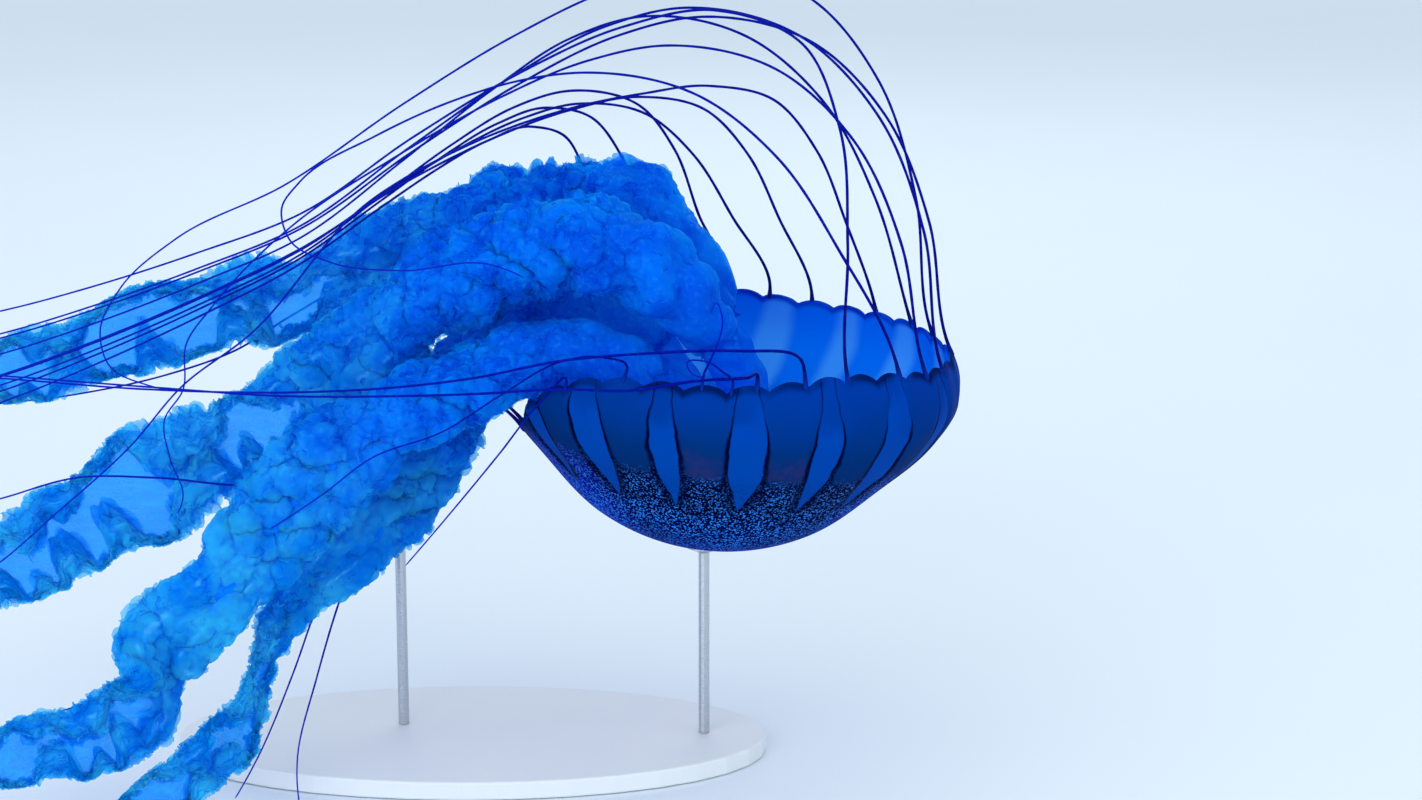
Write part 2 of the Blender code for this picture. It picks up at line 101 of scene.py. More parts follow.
camera = add_object("camera", bpy.data.cameras.new("camera"))
camera.data.sensor_fit = "HORIZONTAL"
camera.data.angle = 2 * math.atan(FIELD_WIDTH / 2 / CAMERA_DISTANCE)
looking = Vector((0.0, math.cos(CAMERA_DROP), -math.sin(CAMERA_DROP)))
camera.location = APEX + AIM_FROM_APEX - looking * CAMERA_DISTANCE
look_along(camera, looking)
bpy.context.scene.camera = camera
print("camera at", [round(value, 3) for value in camera.location])

# %% [markdown]
# A shader is a small net of nodes. Here a Wire is what comes out of a node, and adding or
# multiplying wires puts a Math node down, so a finish reads like arithmetic and not as a list of
# links. The other helpers add the few kinds of node that the finishes further on share.

# %% wires between shader nodes
class Wire:
    """What comes out of a node. Arithmetic with wires and numbers adds Math nodes."""

    def __init__(self, socket):
        self.socket = socket
        self.tree = socket.id_data

    def into(self, node, name):
        self.tree.links.new(self.socket, node.inputs[name])

    def __add__(self, other):
        return calc("ADD", self, other)

    def __sub__(self, other):
        return calc("SUBTRACT", self, other)

    def __rsub__(self, other):
        return calc("SUBTRACT", other, self)

    def __mul__(self, other):
        return calc("MULTIPLY", self, other)

    def __truediv__(self, other):
        return calc("DIVIDE", self, other)


def put(tree, kind, inputs=None, **settings):
    """Adds a node. inputs maps a socket's name or number to a value or to a wire."""
    node = tree.nodes.new(kind)
    for name, value in settings.items():
        setattr(node, name, value)
    for name, value in (inputs or {}).items():
        if isinstance(value, Wire):
            value.into(node, name)
        else:
            node.inputs[name].default_value = value
    return node


def calc(operation, *values, clamp=False):
    """The result of a Math node. At least one of the values is a wire."""
    tree = next(value.tree for value in values if isinstance(value, Wire))
    inputs = dict(enumerate(values))
    node = put(tree, "ShaderNodeMath", inputs, operation=operation, use_clamp=clamp)
    return Wire(node.outputs[0])


print("wires can be added, subtracted, multiplied and divided")

# %% [markdown]
# Most of what the finishes need beyond arithmetic comes down to a few kinds of node: a smooth step,
# a mix of two colours, a colour ramp, a noise and a stretch of space. Each gets a short name here,
# and sizes are given in metres, as on the animal.

# %% shared kinds of node
def rise(value, low, high):
    """0 below low, 1 above high, and a smooth step between them."""
    inputs = {"Value": value, "From Min": low, "From Max": high}
    node = put(value.tree, "ShaderNodeMapRange", inputs, interpolation_type="SMOOTHSTEP")
    return Wire(node.outputs[0])


def mixed(share, first, second):
    """The first colour where share is 0 and the second where it is 1."""
    # A Mix node has its colours in inputs 6 and 7 and gives the mixed colour in output 2.
    inputs = {0: share, 6: first, 7: second}
    return Wire(put(share.tree, "ShaderNodeMix", inputs, data_type="RGBA").outputs[2])


def ramp(value, stops):
    """A colour ramp. Each stop is a place from 0 to 1 and a colour, or a number for a grey."""
    node = put(value.tree, "ShaderNodeValToRGB", {"Fac": value})
    bar = node.color_ramp.elements
    while len(bar) < len(stops):
        bar.new(0.5)
    for element, (place, shade) in zip(bar, stops):
        element.position = place
        element.color = shade if isinstance(shade, tuple) else (shade, shade, shade, 1.0)
    return Wire(node.outputs["Color"])


def noise(where, size, detail=2.0):
    """A soft noise from 0 to 1 whose blobs are about that size in metres."""
    inputs = {"Vector": where, "Scale": 1.0 / size, "Detail": detail}
    return Wire(put(where.tree, "ShaderNodeTexNoise", inputs).outputs["Fac"])


def scaled(where, scale):
    return Wire(put(where.tree, "ShaderNodeMapping", {"Vector": where, "Scale": scale}).outputs[0])


def srgb(red, green, blue):
    """A colour as shaders want it, from the 0 to 255 numbers of a colour picker."""
    parts = [value / 255 for value in (red, green, blue)]
    linear = [p / 12.92 if p <= 0.04045 else ((p + 0.055) / 1.055) ** 2.4 for p in parts]
    return (*linear, 1.0)


print("half grey in a shader is", round(srgb(128, 128, 128)[0], 3))

# %% [markdown]
# Every finish starts the same way: a material, its Principled shader with the values that are even
# all over, and the place on the object. The noises read that place, so a finish fits any shape.

# %% starting a finish
WATERY = 1.34                      # refractive index of sea nettle jelly, close to sea water's


def new_finish(name, roughness, **settings):
    """A new material, its shader with the even values set, and the wire for the place."""
    material = bpy.data.materials.new(name)
    material.use_nodes = True
    shader = material.node_tree.nodes["Principled BSDF"]
    for socket, value in {"Roughness": roughness, **settings}.items():
        shader.inputs[socket.replace("_", " ")].default_value = value
    where = put(material.node_tree, "ShaderNodeTexCoord").outputs["Object"]
    return material, shader, Wire(where)


def mark(where, name):
    """One of the numbers that the mesh carries at each point."""
    return Wire(put(where.tree, "ShaderNodeAttribute", attribute_name=name).outputs["Fac"])


def bump(shader, height, depth):
    """Relief from a height of 0 to 1, that many metres deep."""
    node = put(height.tree, "ShaderNodeBump", {"Height": height, "Distance": depth})
    Wire(node.outputs["Normal"]).into(shader, "Normal")


print("helpers ready")

# %% [markdown]
# The studio is one wide pale floor under a pale sky. Floor and sky are nearly the same shade, and
# the camera looks down, so no horizon shows.

# %% floor
FLOOR_SIZE = 12.0
FLOOR_DROP = 0.0005                # the floor lies just under the base, so the two don't flicker

bpy.ops.mesh.primitive_plane_add(size=FLOOR_SIZE, location=(0.0, 0.0, -FLOOR_DROP))
floor = bpy.context.object
floor.name = "studio_floor"
pale, shader, where = new_finish("studio pale", 0.75)
patches = mixed(noise(where, 0.35), srgb(222, 233, 242), srgb(226, 236, 244))
patches.into(shader, "Base Color")
floor.data.materials.append(pale)
print("floor", [round(value, 1) for value in floor.dimensions])

# %% [markdown]
# Large soft lamps give a studio's even light. The key stands high on the left, a wide fill faces
# it, one behind lights the thin films from the back, a low one in front opens the shadows between
# the arms, and a pale sky fills the rest.

# %% lamps and sky
LAMP_SIZE = 2.2
LAMPS = [
    # name, place round the middle of the animal, power in watts
    ("key", (-1.3, -1.5, 1.9), 8.0),
    ("fill", (1.9, -1.3, 1.0), 8.0),
    ("back", (0.2, 2.1, 1.5), 9.0),
    ("front", (-0.8, -2.4, 0.5), 28.0),
]
MIDDLE_FROM_APEX = Vector((-0.1, 0.0, 0.1))

for lamp_name, lamp_place, power in LAMPS:
    lamp = add_object(lamp_name, bpy.data.lights.new(lamp_name, "AREA"))
    lamp.data.shape = "DISK"
    lamp.data.size = LAMP_SIZE
    lamp.data.energy = power
    lamp.location = APEX + MIDDLE_FROM_APEX + Vector(lamp_place)
    look_along(lamp, APEX + MIDDLE_FROM_APEX - lamp.location)
    print("lamp", lamp_name, "at", [round(value, 2) for value in lamp.location])

sky = bpy.data.worlds.new("soft sky")
sky.use_nodes = True
background = sky.node_tree.nodes["Background"]
background.inputs["Color"].default_value = srgb(228, 238, 246)
background.inputs["Strength"].default_value = 1.0
bpy.context.scene.world = sky
bpy.context.scene.view_settings.view_transform = "Standard"

# %% [markdown]
# ## Curves and sheets
#
# Two shapes make up the whole animal: smooth lines, and sheets laid out as a grid of points. A
# smooth line runs through a few chosen points with a gentle cubic between them.

# %% smooth lines
CUBIC_STEPS = 24                   # fine points between two chosen ones, before they are evened out


def distance_along(line):
    steps = np.linalg.norm(np.diff(line[:, :3], axis=0), axis=1)
    return np.concatenate([[0.0], np.cumsum(steps)])


def smooth_line(points, step=None, count=None):
    """Points at equal distances along a smooth curve through the given ones, in any dimension."""
    points = np.array(points, dtype=float)
    place = distance_along(points)
    slopes = np.gradient(points, place, axis=0, edge_order=2)
    fine = []
    for i in range(len(points) - 1):
        span = place[i + 1] - place[i]
        for t in np.linspace(0.0, 1.0, CUBIC_STEPS, endpoint=False):
            start = (2 * t**3 - 3 * t**2 + 1) * points[i] + (t**3 - 2 * t**2 + t) * span * slopes[i]
            end = (3 * t**2 - 2 * t**3) * points[i + 1] + (t**3 - t**2) * span * slopes[i + 1]
            fine.append(start + end)
    fine = np.array(fine + [points[-1]])
    along = distance_along(fine)
    wanted = np.linspace(0.0, along[-1], count or int(round(along[-1] / step)) + 1)
    return np.stack([np.interp(wanted, along, column) for column in fine.T], axis=1)


def smooth_step(low, high, value):
    share = np.clip((value - low) / (high - low), 0.0, 1.0)
    return share * share * (3 - 2 * share)


def unit(vectors):
    return vectors / np.maximum(np.linalg.norm(vectors, axis=-1, keepdims=True), 1e-12)


bend = smooth_line([(0, 0, 0), (1, 0, 0), (1, 1, 0)], count=4)
print("a bend through three points", bend.round(2).tolist())

# %% [markdown]
# A grid of points becomes a mesh of quads in one call, which is far quicker than adding faces one
# at a time. Each sheet also gets its own patch of a flat map, for the finish to be painted on, and
# may carry named numbers at its points, such as how far up the bell a point lies.

# %% sheets of quads
def corners_of(index):
    """The four corners of each quad in a grid of numbered points."""
    corners = [index[:-1, :-1], index[:-1, 1:], index[1:, 1:], index[1:, :-1]]
    return np.stack(corners, axis=-1).reshape(-1, 4)


def flat_map(rows, columns, low=0.0, high=1.0):
    """An even grid of (u, v), whose v runs from low to high across the columns."""
    u, v = np.meshgrid(np.linspace(0, 1, rows), np.linspace(low, high, columns), indexing="ij")
    return np.stack([u, v], axis=-1)


def sheet_mesh(name, sheets, maps, marks, rounded=True):
    """One mesh from several grids of points, each with shape (rows, columns, 3).

    maps holds a grid of (u, v) for each sheet, for the map OFBake, and marks a dictionary of named
    grids of numbers for each, which the finish reads. rounded closes each sheet's columns; its map
    then has one column more, so that it ends where the sheet meets itself.
    """
    quads, places, first, first_place = [], [], 0, 0
    for sheet, flat in zip(sheets, maps):
        index = first + np.arange(sheet.size // 3).reshape(sheet.shape[:2])
        if rounded:
            index = np.hstack([index, index[:, :1]])
        quads.append(corners_of(index))
        places.append(corners_of(first_place + np.arange(flat.size // 2).reshape(flat.shape[:2])))
        first, first_place = first + sheet.size // 3, first_place + flat.size // 2
    quads, places = np.concatenate(quads), np.concatenate(places)
    mesh = bpy.data.meshes.new(name)
    mesh.vertices.add(first)
    mesh.vertices.foreach_set("co", np.concatenate([sheet.reshape(-1) for sheet in sheets]))
    mesh.loops.add(quads.size)
    mesh.loops.foreach_set("vertex_index", quads.reshape(-1))
    mesh.polygons.add(len(quads))
    mesh.polygons.foreach_set("loop_start", np.arange(0, quads.size, 4))
    mesh.update(calc_edges=True)
    for mark_name in marks[0]:
        values = np.concatenate([grids[mark_name].reshape(-1) for grids in marks])
        layer = mesh.attributes.new(mark_name, "FLOAT", "POINT")
        layer.data.foreach_set("value", values.astype(np.float32))
    flat = np.concatenate([grid.reshape(-1, 2) for grid in maps])[places.reshape(-1)]
    mesh.uv_layers.new(name="OFBake").data.foreach_set("uv", flat.reshape(-1).astype(np.float32))
    mesh.shade_smooth()
    return mesh


one_quad = corners_of(np.arange(4).reshape(2, 2))
print("the corners of one quad, in order", one_quad.tolist())

# %% [markdown]
# A mesh becomes a piece of the model when it has its finish, the body that it rides on, and the
# names of the plain solids that it stands in for. Where a tube closes at its tip, many
# points fall together. They are welded into one, so that no face there is without an area.

# %% finished pieces
WELD_DISTANCE = 1e-6               # metres


def weld(mesh):
    """Joins the points that fall together, at closed ends and where two sheets meet."""
    tidy = bmesh.new()
    tidy.from_mesh(mesh)
    bmesh.ops.remove_doubles(tidy, verts=tidy.verts, dist=WELD_DISTANCE)
    bmesh.ops.recalc_face_normals(tidy, faces=tidy.faces)
    tidy.to_mesh(mesh)
    tidy.free()
    mesh.shade_smooth()


def piece(mesh, finish, stands_for, place=Matrix.Identity(4)):
    """A finished piece: in its place, with its material, riding on the one body of the model."""
    made = add_object(mesh.name, mesh)
    made.matrix_world = place
    mesh.materials.append(finish)
    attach(made, "root")
    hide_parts(*stands_for)
    made_pieces.append((mesh.name, len(mesh.loops) - 2 * len(mesh.polygons)))


made_pieces = []                   # the name of each piece and how many triangles it has
print("pieces so far", len(made_pieces))

# %% [markdown]
# ## The bell
#
# The bell is a bowl of jelly turned round one axis: flat and thick at the apex, steep and thin at
# the rim, with the rim drawn in again. Half of its outline is a handful of radii and heights as
# shares of the bell's radius. The rim isn't level: it dips on the left, where the arms lie
# over it, and its edge is scalloped into thirty-six lappets.

# %% the bell's plan
BELL_RADIUS = 0.151
BELL_LEAN = math.radians(6.0)
BELL_THICKNESS = 0.012
RIM_THICKNESS = 0.2                # as a share of the thickness at the apex
LAPPETS = 36
LAPPET_DEPTH = 0.023
LEFT_DIP = 0.36
LEFT_DIP_WIDTH = math.radians(40.0)
LEFT_DIP_POWER = 2.6
FRONT_RISE = 0.045
FRONT_RISE_AT = math.radians(301.0)
FRONT_RISE_WIDTH = math.radians(25.0)
RIGHT_RISE = 0.03
OUTLINE_END = 1.10                 # the outline may run on straight this far
MERIDIAN = [
    (0.0, 0.0), (0.25, 0.031), (0.49, 0.138), (0.73, 0.358), (0.93, 0.585), (1.0, 0.74),
    (0.965, 0.90),
]
OUTLINE = smooth_line(MERIDIAN, count=400) * BELL_RADIUS
BELL_PLACE = Matrix.Translation(APEX) @ Matrix.Rotation(BELL_LEAN, 4, "Y")


def rim_share(angle):
    """How far up the full outline the rim lies at this angle, 0 at +X and anticlockwise."""
    turn = np.remainder(angle, 2 * math.pi)
    dip = LEFT_DIP * np.exp(-((np.abs(turn - math.pi) / LEFT_DIP_WIDTH) ** LEFT_DIP_POWER))
    front = FRONT_RISE * np.exp(-(((turn - FRONT_RISE_AT) / FRONT_RISE_WIDTH) ** 2))
    return 1.0 - dip + front + RIGHT_RISE * np.maximum(0.0, np.cos(angle)) ** 2


def lappet_share(angle):
    return LAPPET_DEPTH * (np.abs(np.sin(angle * LAPPETS / 2)) ** 0.7 - 1.0)


def round_axis(angle, radius, height):
    """Points at that angle and radius round the upright axis, and at that height."""
    return np.stack([radius * np.cos(angle), radius * np.sin(angle), height], axis=-1)


def bell_surface(angle, share, inward):
    """Points of the outer surface, or that far inside it, in the bell's own frame."""
    place = np.clip(share, 0.0, OUTLINE_END) * (len(OUTLINE) - 1)
    low = np.minimum(place.astype(int), len(OUTLINE) - 2)
    step = OUTLINE[low + 1] - OUTLINE[low]
    flat = OUTLINE[low] + (place - low)[..., None] * step
    along = unit(step)
    radius = flat[..., 0] - inward * along[..., 1]
    height = flat[..., 1] + inward * along[..., 0]
    return round_axis(angle, radius, height)


def jelly_thickness(share):
    """Thick jelly over the stomach, thin towards the rim."""
    return BELL_THICKNESS * (RIM_THICKNESS + (1.0 - RIM_THICKNESS) * (1.0 - share**1.6))


print("bell across", round(2 * BELL_RADIUS, 3), "outline of", len(OUTLINE), "points")

# %% [markdown]
# The pattern follows the body's plan: eighteen pale windows with pointed feet, parted by eighteen
# dark bands. On the real animal the bands stand a little proud and the windows lie between them as
# shallow channels, so the mesh carries that relief and the shader only colours it. Near the rim the
# jelly is pleated, once for each lappet, and the film itself is folded unevenly.

# %% relief of the bell's outside
WINDOWS = 18
FIRST_WINDOW = math.radians(278.0)
WINDOW_TWIST = math.radians(3.0)   # how far the windows drift round the bell, from foot to rim
# Half widths of a window in degrees, up the outline from its pointed foot.
WINDOW_SHAPE = [
    (0.545, 0.0), (0.58, 0.9), (0.62, 2.0), (0.70, 3.4), (0.79, 3.9), (0.88, 3.7), (0.96, 3.0),
    (1.0, 2.4),
]
CHANNEL_DEPTH = 0.0009
GROOVE_DEPTH = 0.0007
PLEAT_DEPTH = 0.0016
RIM_FOLD_DEPTH = 0.0024
WALL_FOLD_DEPTH = 0.0006


def window_reach(angle, share):
    """Degrees from the middle of the nearest window."""
    twist = WINDOW_TWIST * np.clip((share - 0.6) / 0.4, 0.0, 1.0)
    turn = (angle - FIRST_WINDOW + twist) * WINDOWS / (2 * math.pi)
    return np.abs(turn - np.round(turn)) * 360 / WINDOWS


def bell_relief(angle, share):
    """How deep the outside is sunk: channels along the windows, and pleats near the rim."""
    outside = window_reach(angle, share) - np.interp(share, *zip(*WINDOW_SHAPE))
    channel = CHANNEL_DEPTH * smooth_step(1.0, -1.2, outside) * smooth_step(0.55, 0.64, share)
    groove = GROOVE_DEPTH * np.exp(-(((outside - 0.5) / 0.8) ** 2))
    groove = groove * smooth_step(0.56, 0.62, share) * smooth_step(1.0, 0.88, share)
    pleat = (0.5 - 0.5 * np.cos(angle * LAPPETS / 2 + 0.9)) ** 2
    return channel + groove + PLEAT_DEPTH * smooth_step(0.80, 1.0, share) * pleat


def rim_folds(angle, share):
    """How far the film itself is folded inwards near the rim, unevenly round it."""
    wander = 0.9 * np.sin(3 * angle + 0.7) + 0.7 * np.sin(7 * angle + 2.0)
    size = 0.5 + 0.5 * np.sin(5 * angle + 1.3 * np.sin(2 * angle))
    fold = (0.5 - 0.5 * np.cos(angle * LAPPETS / 4 + wander)) ** 1.5
    return RIM_FOLD_DEPTH * size * fold * smooth_step(0.78, 1.0, share)


def wall_folds(angle, share):
    """Low folds down the inside, a pair for each window."""
    wave = np.sin(angle * WINDOWS + 2.0 * np.sin(3 * angle))
    return WALL_FOLD_DEPTH * smooth_step(0.3, 0.9, share) * wave


print("windows", WINDOWS, "with feet at", WINDOW_SHAPE[0][0], "of the outline")

# %% [markdown]
# The skin is one grid of rings that runs up the outside, round the rim's edge and down the inside,
# so the film has a real thickness everywhere. Each point also learns how far up it lies, whether it
# is inside, and how near the rim is, because the finish is drawn from those numbers.

# %% rings of the bell
BELL_COLUMNS, OUTER_RINGS, RIM_RINGS, INNER_RINGS = 640, 92, 5, 40
LIP_RISE = 0.004                   # how far the rounded edge stands over the rim, up the outline


def bell_rings(columns, outer_rings, rim_rings, inner_rings):
    """The grid of points, the marks on them, and their angles."""
    angle = np.linspace(0, 2 * math.pi, columns, endpoint=False)[None, :]
    rim, edge = rim_share(angle), rim_share(angle) + lappet_share(angle)
    outer_share = np.linspace(0.0, 1.0, outer_rings)[:, None] ** 0.9 * edge
    outer_depth = bell_relief(angle, outer_share) + rim_folds(angle, outer_share)
    turn = np.linspace(0.0, math.pi, rim_rings + 2)[1:-1, None]
    lip = jelly_thickness(edge / rim) / 2
    lip_depth = lip * (1.0 - np.cos(turn)) + bell_relief(angle, edge) * np.cos(turn / 2) ** 2
    lip_share, lip_depth = edge + np.sin(turn) * LIP_RISE, lip_depth + rim_folds(angle, edge)
    inner_share = (1.0 - np.linspace(0.0, 1.0, inner_rings)[:, None]) ** 0.9 * edge
    inner_depth = jelly_thickness(inner_share / rim) + wall_folds(angle, inner_share)
    inner_depth = inner_depth + rim_folds(angle, inner_share)
    points = np.concatenate([
        bell_surface(angle, outer_share, outer_depth),
        bell_surface(angle, lip_share, lip_depth),
        bell_surface(angle, inner_share, inner_depth),
    ])
    shares = np.concatenate([outer_share, np.minimum(lip_share, edge), inner_share])
    inside = np.concatenate([
        np.zeros_like(outer_share),
        np.broadcast_to(turn / math.pi, lip_share.shape),
        np.ones_like(inner_share),
    ])
    to_rim = np.concatenate([edge - outer_share, np.zeros(lip_share.shape), edge - inner_share])
    marks = {"share": shares, "inside": inside, "to_rim": to_rim}
    return points, marks, np.broadcast_to(angle, shares.shape)


bell_coarser = 1      # a quick try-out is drawn with fewer points
bell_points, bell_marks, bell_angles = bell_rings(
    BELL_COLUMNS // bell_coarser, OUTER_RINGS // bell_coarser, RIM_RINGS,
    INNER_RINGS // bell_coarser,
)
print("rings and columns of the bell", bell_points.shape[:2])

# %% [markdown]
# For its flat map the bell is cut along the rim's edge, and outside and inside become two discs
# that lie side by side. On a disc the map is stretched evenly, which a strip from the apex to the
# rim would not be.

# %% the bell's two discs
DISC_RADIUS = 0.22
DISC_MARGIN = 0.012                # room on the map for the rounded edge


def disc(rows, middle):
    """The points, map and marks of some of the bell's rings, with the map's disc round middle."""
    inside = bell_marks["inside"][rows]
    margin = DISC_MARGIN * (1.0 - np.abs(2 * inside - 1.0)) * (inside < 0.99)
    reach, turn = DISC_RADIUS * (bell_marks["share"][rows] + margin), bell_angles[rows]
    spread = np.stack([middle + reach * np.cos(turn), 0.5 + reach * np.sin(turn)], axis=-1)
    spread = np.concatenate([spread, spread[:, :1]], axis=1)
    return bell_points[rows], spread, {name: grid[rows] for name, grid in bell_marks.items()}


cut = int(np.sum(bell_marks["inside"][:, 0] < 0.5))
discs = [disc(slice(0, cut + 1), 0.25), disc(slice(cut, None), 0.75)]
bell_mesh = sheet_mesh("bell", *zip(*discs))
weld(bell_mesh)
print("bell points", len(bell_mesh.vertices), "cut at ring", cut)

# %% [markdown]
# The finish reads the marks on the mesh. The angle round the bell comes from the object's own
# coordinates, so the windows stay crisp whatever the mesh. First come the measures that every
# layer of the pattern is drawn with: how far a point lies outside the nearest window, and two
# noises that keep all the edges from looking drawn with a ruler.

# %% measures for the bell's pattern
def window_marks(where, share):
    """Degrees outside the nearest window's edge, and the cosine of the angle from the first one."""
    across = put(where.tree, "ShaderNodeSeparateXYZ", {0: where})
    angle = calc("ARCTAN2", Wire(across.outputs["Y"]), Wire(across.outputs["X"]))
    twist = calc("MULTIPLY_ADD", share, 2.5, -1.5, clamp=True) * WINDOW_TWIST
    turn = (angle - FIRST_WINDOW + twist) * (WINDOWS / (2 * math.pi))
    number = calc("ROUND", turn)
    reach = calc("ABSOLUTE", turn - number) * (360 / WINDOWS)
    wobble = (noise(where, 0.016) - 0.5) * 1.5
    # Wide windows and narrow ones take turns, and no two are quite alike.
    uneven = noise(where, 0.055) * 0.4 + 0.92 - calc("PINGPONG", number, 1.0) * 0.24
    widest = max(width for place, width in WINDOW_SHAPE)
    shape = ramp(share, [(place, width / widest) for place, width in WINDOW_SHAPE])
    half = shape * widest * uneven
    foot = calc("LESS_THAN", share, WINDOW_SHAPE[0][0]) * 6.0
    return reach + wobble - half + foot, calc("COSINE", angle - FIRST_WINDOW)


bell_jelly, shader, where = new_finish("bell jelly", 0.50, Specular_IOR_Level=0.005, IOR=WATERY)
share, to_rim, inside = mark(where, "share"), mark(where, "to_rim"), mark(where, "inside")
outside, from_first = window_marks(where, share)
fuzz = noise(where, 0.006, detail=3.0)
cloud = noise(where, 0.035)
print("nodes for the measures", len(bell_jelly.node_tree.nodes))

# %% [markdown]
# The bands run from near-black at their feet to a bluer margin, and two of them on the near side
# have a faint reddish patch low down: that is the red-brown pigment that shows in white light.

# %% bands
NIGHT = srgb(0, 5, 46)
BAND_LOW = srgb(2, 40, 98)
BAND_MIDDLE = srgb(0, 46, 112)
BAND_HIGH = srgb(0, 52, 148)
BAND_RED = srgb(44, 42, 98)

ragged = share + (cloud - 0.5) * 0.10
bands = ramp(ragged, [(0.60, NIGHT), (0.70, BAND_LOW), (0.82, BAND_MIDDLE), (1.0, BAND_HIGH)])
warm = rise(ragged, 0.67, 0.72) * rise(ragged, 0.82, 0.76)
patch = rise(from_first, 0.92, 0.97) * rise(fuzz, 0.25, 0.95)
bands = mixed(warm * patch, bands, BAND_RED)
print("bands end in", [round(value, 2) for value in BAND_HIGH[:3]])

# %% [markdown]
# The crown is peppered with pale warts on near-black, and the peppering fades out a third of the
# way up the bands. Warts are the cells of a Voronoi texture, in two sizes laid over each other, and
# they are flattened a little because they follow the slope of the skin. Near the apex and round the
# sides the near-black carries a painted sheen: it is painted bluer where the bell's outline shows.

# %% the peppered crown
WART_SIZES = (0.0015, 0.0022)
WART_FOOT = srgb(22, 92, 208)
WART_PALE = srgb(44, 136, 255)
WART_HIGH = srgb(44, 110, 205)
# painted sheen: near-black ground painted bluer near the apex, where the bell's lower outline shows
APEX_GROUND_AND_SHEEN = srgb(4, 26, 160)
CROWN_MIDDLE = srgb(0, 10, 84)
CROWN_HIGH = srgb(0, 3, 40)
# painted sheen: near-black ground painted bluer round the sides, where the bell turns to its
# outline
SIDE_GROUND_AND_SHEEN = srgb(0, 24, 172)


def warts_of(where, size):
    """1 on pale warts and 0 between them."""
    inputs = {"Vector": scaled(where, (1.0, 1.0, 0.6)), "Scale": 1.0 / size, "Randomness": 0.95}
    cells = put(where.tree, "ShaderNodeTexVoronoi", inputs)
    return rise(Wire(cells.outputs["Distance"]) - noise(where, 0.004) * 0.28, 0.25, 0.12)


warts = calc("MAXIMUM", *(warts_of(where, size) for size in WART_SIZES))
# Near-black ground, with a painted sheen in a bluer colour near the apex.
ground_and_sheen = ramp(share, [(0.10, APEX_GROUND_AND_SHEEN), (0.36, CROWN_MIDDLE), (0.55, CROWN_HIGH)])
# The ground is painted bluer round the sides than on the near side: a painted sheen at the outline.
ground_and_sheen = mixed(rise(from_first, 0.85, 0.45) * 0.75, ground_and_sheen, SIDE_GROUND_AND_SHEEN)
wart_colour = ramp(share, [(0.05, WART_FOOT), (0.40, WART_PALE), (0.70, WART_HIGH)])
bright = warts * ramp(noise(where, 0.020), [(0.3, 0.55), (0.6, 1.0)])
peppered = rise(share + (fuzz - 0.5) * 0.09, 0.735, 0.655)
skin = mixed(peppered, bands, mixed(bright, ground_and_sheen, wart_colour))
print("warts about", [f"{1000 * size:.1f} mm" for size in WART_SIZES])

# %% [markdown]
# Near-black edges run along each window, thick at the pointed foot and gone near the rim. The
# panes between them are plain clear blue, and fade into the margin unevenly.

# %% windows
PANE_LOW = srgb(0, 66, 160)
WINDOW_BLUE = srgb(0, 64, 158)
PANE_HIGH = srgb(0, 60, 165)
EDGE_WIDTHS = [(0.54, 0.9), (0.64, 0.85), (0.74, 0.44), (0.86, 0.24), (0.94, 0.0)]

edge = outside / (ramp(share, EDGE_WIDTHS) * 3.4 + 0.01)
edged = rise(edge, 1.35, 0.55) * rise(share, 0.53, 0.57) * rise(outside, -0.6, 0.0)
near_edge = mixed(warts * 0.22, NIGHT, wart_colour)
skin = mixed(edged, skin, mixed(rise(share, 0.80, 0.66), NIGHT, near_edge))
pane = ramp(share, [(0.56, PANE_LOW), (0.80, WINDOW_BLUE), (1.0, PANE_HIGH)])
clear = rise(outside, 0.18, -0.22) * rise(share + (cloud - 0.5) * 0.35, 1.02, 0.86)
skin = mixed(clear, skin, pane)
print("edges fade out at", EDGE_WIDTHS[-1][0], "of the outline")

# %% [markdown]
# A dark line lies just under the free edge, broken where the film is thin. The inner wall is pale,
# because light comes through it, and its windows are lighter still. Last, the two sides are joined
# by the mark that says which is the inside.

# %% rim and inner wall
INSIDE_BAND = srgb(0, 126, 248)
INSIDE_WINDOW = srgb(64, 166, 255)
INSIDE_DEEP = srgb(2, 80, 215)
RIM_LINE = srgb(0, 70, 200)
BRIM_LINE = srgb(0, 10, 60)

brim = rise(to_rim, 0.030, 0.006) * 0.80 * rise(cloud, 0.34, 0.56)
skin = mixed(brim, skin, BRIM_LINE)
wall = mixed(rise(outside, 2.4, -1.6), INSIDE_BAND, INSIDE_WINDOW)
wall = mixed(rise(share, 0.72, 0.45), wall, INSIDE_DEEP)
wall = mixed(rise(to_rim, 0.026, 0.004), wall, RIM_LINE)
mixed(rise(inside, 0.4, 0.6), skin, wall).into(shader, "Base Color")
bump(shader, warts * peppered, 0.0004)
piece(bell_mesh, bell_jelly, ["bell_dome", "bell_margin"], BELL_PLACE)
print("bell", made_pieces[-1], "nodes in its finish", len(bell_jelly.node_tree.nodes))

# %% [markdown]
# ## The oral arms
#
# Each arm is a long ribbon of film with a rib down its middle. Its margins grow faster than the
# rib, so they can't lie flat and buckle into ruffles, and the ruffles into finer ruffles. That is
# how a lettuce leaf gets its edge, and it is built here the same way: sheets stand out from the
# rib, and each is pushed to and fro along its own normal.
#
# The middle line and half width of each arm are those of the frame's plain solids.

